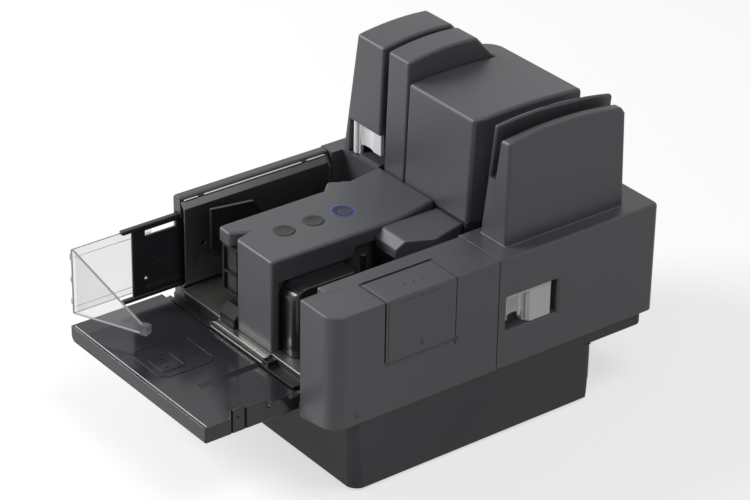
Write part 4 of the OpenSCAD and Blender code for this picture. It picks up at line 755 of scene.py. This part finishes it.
class SCANNER_OT_hopper(bpy.types.Operator):
    """Make the floors, the liner, the pusher and the guides of hopper and pocket"""
    bl_idname = "scanner.hopper"
    bl_label = "Hopper and pocket"

    def execute(self, context):
        cover("hopper_liner", "body", "floor_steel", "liner_stainless", 0.4, 0.6)
        cover("pusher", "pusher", "dark_plastic", "black_acetal", 0.5, 0.5, low=0.5)
        openings = ((121.6, 138.4), (140.4, 163.2))
        cover("separator_post", "body", "black_gloss", "separator_nylon", 0.5, 0.7, low=0.5,
              cutters=[block("opening", (-52.6, 10, foot), (-34, 27, top), 0.4)
                       for foot, top in openings])
        cover("pocket_guide", "body", "black_gloss", "gloss_acetal", 1.2, 1.6, low=0.8)
        sill = cover("front_sill", "body", "black_gloss", "black_acetal", 0.25, 0.3, low=0.25)
        # Three light grey lines along the sill: painted reflections on its dark surface.
        sill_reflections = []
        for y in (7.0, 9.0, 15.5):
            rise = surface(sill, 0, y).z
            sill_reflections.append(bar("rail", (-58, y, rise), (20, y, rise), 0.9, 0.3))
        detail(joined("sill_reflection_lines", *sill_reflections), "body", "black_gloss", "painted_highlight_abs")
        cover("hopper_floor", "body", "floor_steel", "floor_stainless", 0.3, 0.5)
        cover("pocket_floor", "body", "floor_steel", "floor_stainless", 0.3, 0.5)
        cover("pocket_post", "body", "floor_steel", "blackened_steel", 0.3, 0.3)
        cover("liner_strip", "body", "floor_steel", "strip_stainless", 0.2, 0.3)
        # Black blocks at the back of the two openings: painted shade of the dark inside behind them.
        back = [block("dark", (-52.4, 20.6, foot + 0.2), (-34.2, 26.9, top - 0.2), 0.2)
                for foot, top in openings]
        detail(joined("separator_opening_shade", *back), "body", "black_gloss", "black_acetal")
        lip = block("floor_lip", (-54, 8.2, 89.6), (23, 12.6, 90.5), 0.35)
        detail(lip, "body", "floor_steel", "strip_stainless")
        self.pusher_ribs()
        self.liner_trim()
        return {"FINISHED"}

    def pusher_ribs(self):
        """Raised rim and ribs on the pusher's face."""
        low, high = box_of("pusher")
        face = high.x
        reach, foot = high.y - low.y, 102
        points = [(low.y + share * reach, foot + rise * (high.z - foot)) for share, rise in PUSHER_OUTLINE]
        ribs = []
        rim_width = 2.2
        for (ya, za), (yb, zb) in zip(points, points[1:] + points[:1]):
            length = math.hypot(yb - ya, zb - za)
            along = ((yb - ya) / length, (zb - za) / length)
            inward = (along[1] * rim_width, -along[0] * rim_width)
            ribs.append(plate("rim", [(ya, za), (yb, zb), (yb + inward[0], zb + inward[1]),
                                      (ya + inward[0], za + inward[1])], "X", face - 0.4, face + 0.9, 0.3))
        for y in (50, 68):
            ribs.append(block("rib", (face - 0.4, y, 122), (face + 0.8, y + 2, 170), 0.3))
        for z in (128, 148):
            ribs.append(block("rib", (face - 0.4, 36, z), (face + 0.8, 84, z + 2), 0.3))
        detail(joined("pusher_ribs", *ribs), "pusher", "dark_plastic", "black_acetal")

    def liner_trim(self):
        """The black inserts at the cuts of the bright strip, and its rolled beads between them."""
        low, high = box_of("liner_strip")
        inserts = [block("insert", (low.x - 0.2, a, low.z - 0.4), (high.x + 0.1, b, high.z + 0.5), 0.25)
                   for a, b in ((37, 42.8), (150, 155))]
        detail(joined("strip_inserts", *inserts), "body", "dark_plastic", "black_acetal")
        beads = [bar("bead", (low.x + 1.3, a, low.z + 0.3), (low.x + 1.3, b, low.z + 0.3), 2.0, 0.5)
                 for a, b in ((22.3, 36.6), (43.2, 149.6), (155.4, 175.2))]
        detail(joined("strip_beads", *beads), "body", "floor_steel", "strip_stainless")


class SCANNER_OT_tray(bpy.types.Operator):
    """Make the fold-down tray"""
    bl_idname = "scanner.tray"
    bl_label = "Tray"

    def execute(self, context):
        low, high = box_of("tray_cover")
        grooves = [block("groove", (high.x - 2.4, y, low.z - 2), (high.x + 2, y + 1.8, high.z + 2), 0.3)
                   for y in (-65.4, -51.2)]
        tray = cover("tray_cover", "tray", "tray_plastic", "tray_abs", 0.7, 1.2, inner=0.7, low=0.9,
                     cutters=grooves)
        # A light grey bar along the tray's front edge line: painted highlight of its polished edge.
        rise = surface(tray, 20, low.y + 2.9).z
        lip = block("tray_lip_highlight", (low.x + 3, low.y + 2.4, rise - 1.0),
                    (high.x - 2.4, low.y + 3.4, rise + 0.4), 0.2)
        detail(lip, "tray", "tray_plastic", "painted_highlight_abs")
        # Two black blocks at the front rim standing for two small dark slots, which are not cut: painted
        # shade.
        rise = surface(tray, -60, low.y + 5.5).z
        notch_shades = [block("notch", (x - 1.8, low.y + 0.5, rise - 4.6),
                         (x + 1.8, low.y + 2.6, rise - 0.1), 0.3) for x in (-70.2, 11.8)]
        detail(joined("tray_notch_shades", *notch_shades), "tray", "dark_plastic", "black_acetal")
        self.cheque_sign(surface(tray, -30, -50).z)
        return {"FINISHED"}

    def cheque_sign(self, rise):
        """A raised outline of a cheque on its board, with an arrow along the feed."""
        lines = []
        half = 0.45

        def rim(x, y, half_w, half_l, corner):
            """Four bars round a place, with a slanted bar across each corner."""
            sides = (((x - half_w, y - half_l + corner), (x - half_w, y + half_l - corner)),
                     ((x - half_w + corner, y + half_l), (x + half_w - corner, y + half_l)),
                     ((x + half_w, y + half_l - corner), (x + half_w, y - half_l + corner)),
                     ((x + half_w - corner, y - half_l), (x - half_w + corner, y - half_l)))
            for place, (start, end) in enumerate(sides):
                line(start, end)
                line(end, sides[(place + 1) % 4][0])

        def line(start, end):
            """A low bar between two places on the tray."""
            (xa, ya), (xb, yb) = start, end
            length = math.hypot(xb - xa, yb - ya)
            across = ((yb - ya) / length * half, -(xb - xa) / length * half)
            lines.append(plate("line", [(xa + across[0], ya + across[1]), (xb + across[0], yb + across[1]),
                                        (xb - across[0], yb - across[1]), (xa - across[0], ya - across[1])],
                               "Z", rise - 0.3, rise + 0.5, 0.2))

        rim(-35, -48, 26, 28, 6)
        rim(-31, -58, 13, 11, 1.5)
        for x in (-38, -33):
            line((x, -64), (x, -54))
        line((-24, -64), (-24, -60))
        for start, end in (((-31, -43), (-31, -28)), ((-31, -28), (-36, -33)), ((-31, -28), (-26, -33))):
            line(start, end)
        detail(joined("cheque_sign", *lines), "tray", "tray_plastic", "tray_abs")


class SCANNER_OT_guides(bpy.types.Operator):
    """Make the sliding guide plate and the clear end guide"""
    bl_idname = "scanner.guides"
    bl_label = "End guides"

    def execute(self, context):
        guide = cover("guide_plate", "guide", "dark_plastic", "guide_pc_abs", 0.5, 0.7, low=0.5)
        line_z = 122.6
        face = surface(guide, 0, 0, line_z, (-1, 0, 0)).x
        rail = surface(guide, 0, 0, 162.5, (-1, 0, 0)).x
        relief = [bar("line", (face, -15, line_z), (face, 34, line_z), 1.6, 0.5),
                  ring_of("eye", (face, -17.2, 110.3), 2.4, 0.9, "X")]
        for z in (163.4, 161.2):
            relief.append(bar("rail_line", (rail, -40.5, z), (rail, 20, z), 0.9, 0.3))
        front, back, foot, top = -17.5, 22, 97.8, 103
        for ya, za, yb, zb in ((front, foot, back, foot), (front, top, back, top),
                               (front, foot, front, top), (back, foot, back, top)):
            relief.append(bar("frame", (face, ya, za), (face, yb, zb), 1.0, 0.3))
        detail(joined("guide_relief", *relief), "guide", "dark_plastic", "guide_pc_abs")
        cover("clear_guide", "clear_guide", "clear_plastic", "clear_polycarbonate", 0.35, 0.35, low=0.35)
        self.bright_edges()
        return {"FINISHED"}

    def bright_edges(self):
        """The clear guide's bright rims, the lines on its wall and the tabs at its front edge, in
        near-white plastic as painted highlights.
        """
        edges = [bar("wing_top", (-127.6, -89.0, 160.0), (-69.5, -57.4, 102.4), 1.5, 0.4),
                 bar("wing_low", (-127.6, -89.6, 97.0), (-68.0, -60.2, 95.4), 1.3, 0.4),
                 bar("front_rim", (-128.4, -89.9, 96.8), (-128.4, -89.9, 160.2), 1.5, 0.4)]
        rear = -8
        rims = (("top_rim", -128.4, -90, 160.3, 0.9, 0.3), ("top_line", -127.3, -88, 152.5, 0.45, 0.1),
                ("low_line", -127.3, -88, 103.5, 0.45, 0.1), ("low_rim", -128.4, -90, 96.8, 0.7, 0.2))
        for name, x, y, z, thick, edge in rims:
            edges.append(bar(name, (x, y, z), (x, rear, z), thick, edge))
        for za, zb in ((150, 156), (128, 133), (106, 111)):
            edges.append(block("tab", (-130.2, -91.1, za), (-128.8, -89.6, zb), 0.3))
        detail(joined("clear_guide_edge_highlights", *edges), "clear_guide", "clear_plastic", "edge_highlight_polycarbonate")


class SCANNER_OT_levers(bpy.types.Operator):
    """Make the two off-white levers"""
    bl_idname = "scanner.levers"
    bl_label = "Levers"

    def execute(self, context):
        cover("left_lever", "left_lever", "lever_plastic", "lever_abs", 0.6, 0.8, low=0.6,
              cutters=[block("foot", (-96.6, 150, 150), (-55, 240, 190.5), 2.5, 4)])
        cover("right_lever", "right_lever", "lever_plastic", "lever_abs", 0.5, 0.6, low=0.5,
              cutters=[block("foot", (110, 180, 100), (135, 209, 117.5), 1.0),
                       block("gap", (124, 206, 110), (135, 210.5, 138.4), 0.6)])
        # The floor of the tower's window, under the left lever's cut foot.
        floor = block("lever_floor", (-93.5, 195.6, COVER_TOP - 2), (-64.5, 214.4, COVER_TOP + 3), 1.2)
        detail(floor, "left_carriage", *HOUSING)
        trim = [block("top_rim", (128.6, 186.4, 139.0), (130.9, 235.6, 141.5), 0.5),
                bar("rib", (129.2, 201, 118.2), (129.2, 201, 139.2), 2.6, 0.8)]
        detail(joined("right_lever_trim", *trim), "right_lever", "lever_plastic", "lever_abs")
        return {"FINISHED"}


class SCANNER_OT_inside(bpy.types.Operator):
    """Finish the parts inside and underneath that keep their own shape"""
    bl_idname = "scanner.inside"
    bl_label = "Inside"

    def execute(self, context):
        finishes = {
            "frame_nylon": ("base_cover", "transport_deck", "cartridge_holder", "track_core", "tray_plate"),
            "foot_rubber": ("rubber_feet", "drive_belt"),
            "plated_steel": ("base_screws", "drive_motor", "hinge_pins", "motor_pulley", "pusher_rod",
                             "tray_pins", "magnetic_head", "data_socket"),
            "solder_mask": ("control_board", "button_board"),
            "black_acetal": ("power_inlet",),
            "cartridge_polypropylene": ("imprint_cartridge",),
            "scan_glass": ("left_scan_window", "right_scan_window"),
            "roller_polyurethane": ("pickup_roller", "feed_roller", "left_turn_roller", "right_turn_roller",
                                    "exit_roller", "left_pinch_roller", "right_pinch_roller",
                                    "exit_pinch_roller"),
            "retard_cork_rubber": ("retard_roller",),
        }
        for material, nodes in finishes.items():
            for node in nodes:
                finish_node(node, material)
        return {"FINISHED"}


# Studio

# Fitted to the photograph's edges: angles in degrees, place and lens in millimetres.
CAMERA_TURN = 52.317
CAMERA_RISE = 28.887
CAMERA_ROLL = 1.001
CAMERA_PLACE = (1790.6, -1239.9, 1390.9)
CAMERA_LENS = 140.84
# The top light's power as a share of the key's, and the table's own glow.
TOP_SHARE = 0.18
FLOOR_GLOW = 0.64


class SCANNER_OT_studio(bpy.types.Operator):
    """Make the floor, the light and the camera"""
    bl_idname = "scanner.studio"
    bl_label = "Studio"

    def execute(self, context):
        studio = context.scene.scanner_studio
        self.make_floor()
        self.make_room(context, studio)
        self.make_lamp("key_light", (-2.3, -2.2, 1.75), (0, 0, 0.15), 1.8, studio.key_power)
        self.make_lamp("top_light", (1.1, 0.3, 2.9), (0, 0, 0.1), 1.4, studio.key_power * TOP_SHARE)
        self.make_camera(context)
        context.scene.view_settings.view_transform = "Standard"
        return {"FINISHED"}

    def plain_rays(self, tree):
        """One for the rays that see the room as it is: straight, in gloss and through clear plastic."""
        ray = add_node(tree, "ShaderNodeLightPath")
        seen = add_node(tree, "ShaderNodeMath", {"operation": "ADD"},
                        {0: ray.outputs["Is Camera Ray"], 1: ray.outputs["Is Glossy Ray"]})
        return add_node(tree, "ShaderNodeMath", {"operation": "ADD", "use_clamp": True},
                        {0: seen.outputs[0], 1: ray.outputs["Is Transmission Ray"]})

    def make_floor(self):
        """A wide white table, with a glow of its own so that it meets the backdrop unseen."""
        bpy.ops.object.select_all(action="DESELECT")
        bpy.ops.mesh.primitive_plane_add(size=14, location=(0, 0, 0))
        floor = bpy.context.object
        floor.name = "studio_floor"
        tree = new_material("studio_floor")
        place = add_node(tree, "ShaderNodeTexCoord")
        cloud = add_node(tree, "ShaderNodeTexNoise", {"Scale": 3.0}, {"Vector": place.outputs["Object"]})
        paint = add_node(tree, "ShaderNodeMapRange", {"To Min": 0.55, "To Max": 0.57},
                         {"Value": cloud.outputs["Fac"]})
        glow = add_node(tree, "ShaderNodeMath", {"operation": "MULTIPLY", 1: FLOOR_GLOW},
                        {0: self.plain_rays(tree).outputs[0]})
        matt = add_node(tree, "ShaderNodeBsdfDiffuse", None, {"Color": paint.outputs["Result"]})
        light = add_node(tree, "ShaderNodeEmission", None, {"Strength": glow.outputs[0]})
        both = add_node(tree, "ShaderNodeAddShader", None, {0: matt.outputs[0], 1: light.outputs[0]})
        close_material(tree, both)
        floor.data.materials.append(MATERIALS["studio_floor"])

    def make_room(self, context, studio):
        """A white room that shows in full and lights softly."""
        world = bpy.data.worlds.new("studio_room")
        context.scene.world = world
        world.use_nodes = True
        tree = world.node_tree
        tree.nodes.clear()
        strength = add_node(tree, "ShaderNodeMapRange", {"To Min": studio.fill_level, "To Max": 1.0},
                            {"Value": self.plain_rays(tree).outputs[0]})
        room = add_node(tree, "ShaderNodeBackground", {"Color": list(studio.backdrop) + [1.0]},
                        {"Strength": strength.outputs["Result"]})
        add_node(tree, "ShaderNodeOutputWorld", None, {"Surface": room.outputs[0]})

    def make_lamp(self, name, place, aim, size, power):
        """A round soft lamp at a place, turned to what it aims at, in metres."""
        data = bpy.data.lights.new(name, "AREA")
        data.shape = "DISK"
        data.size = size
        data.energy = power
        made = bpy.data.objects.new(name, data)
        bpy.context.scene.collection.objects.link(made)
        made.location = place
        made.rotation_mode = "QUATERNION"
        made.rotation_quaternion = (Vector(aim) - Vector(place)).to_track_quat("-Z", "Y")

    def make_camera(self, context):
        """The camera that took the photograph, from its turn, rise, roll and place."""
        data = bpy.data.cameras.new("camera")
        data.lens = CAMERA_LENS
        data.sensor_width = 36
        data.sensor_fit = "HORIZONTAL"
        data.clip_start, data.clip_end = 0.1, 50
        camera = bpy.data.objects.new("camera", data)
        context.scene.collection.objects.link(camera)
        turn, rise, roll = (math.radians(v) for v in (CAMERA_TURN, CAMERA_RISE, CAMERA_ROLL))
        back = Vector((math.sin(turn) * math.cos(rise), -math.cos(turn) * math.cos(rise), math.sin(rise)))
        right = Vector((math.cos(turn), math.sin(turn), 0))
        up = right.cross(-back)
        side = right * math.cos(roll) + up * math.sin(roll)
        over = up * math.cos(roll) - right * math.sin(roll)
        camera.matrix_world = Matrix.Translation(at(*CAMERA_PLACE)) @ Matrix(
            (side, over, back)).transposed().to_4x4()
        context.scene.camera = camera


# Panel and registration

OPERATORS = (SCANNER_OT_studio, SCANNER_OT_base, SCANNER_OT_rear_covers, SCANNER_OT_front_covers,
             SCANNER_OT_panel, SCANNER_OT_hopper, SCANNER_OT_tray, SCANNER_OT_guides,
             SCANNER_OT_levers, SCANNER_OT_inside)


class SCANNER_PT_pieces(bpy.types.Panel):
    """Shows the scanner's settings and the steps that make it"""
    bl_idname = "SCANNER_PT_pieces"
    bl_label = "Cheque scanner"
    bl_space_type = "VIEW_3D"
    bl_region_type = "UI"
    bl_category = "Scanner"

    def draw(self, context):
        column = self.layout.column()
        for settings in (context.scene.scanner, context.scene.scanner_studio):
            for key in settings.bl_rna.properties.keys():
                if key not in ("rna_type", "name"):
                    column.prop(settings, key)
        for operator in OPERATORS:
            column.operator(operator.bl_idname)


CLASSES = (ScannerSettings, StudioSettings) + OPERATORS + (SCANNER_PT_pieces,)


def register():
    """Adds the classes and the two groups of settings."""
    for item in CLASSES:
        bpy.utils.register_class(item)
    bpy.types.Scene.scanner = PointerProperty(type=ScannerSettings)
    bpy.types.Scene.scanner_studio = PointerProperty(type=StudioSettings)


def unregister():
    """Takes them out again."""
    del bpy.types.Scene.scanner_studio
    del bpy.types.Scene.scanner
    for item in reversed(CLASSES):
        bpy.utils.unregister_class(item)


def main():
    """Makes the whole scene."""
    register()
    make_materials(bpy.context.scene.scanner)
    for operator in OPERATORS:
        group, name = operator.bl_idname.split(".")
        getattr(getattr(bpy.ops, group), name)()


if __name__ == "__main__":
    main()
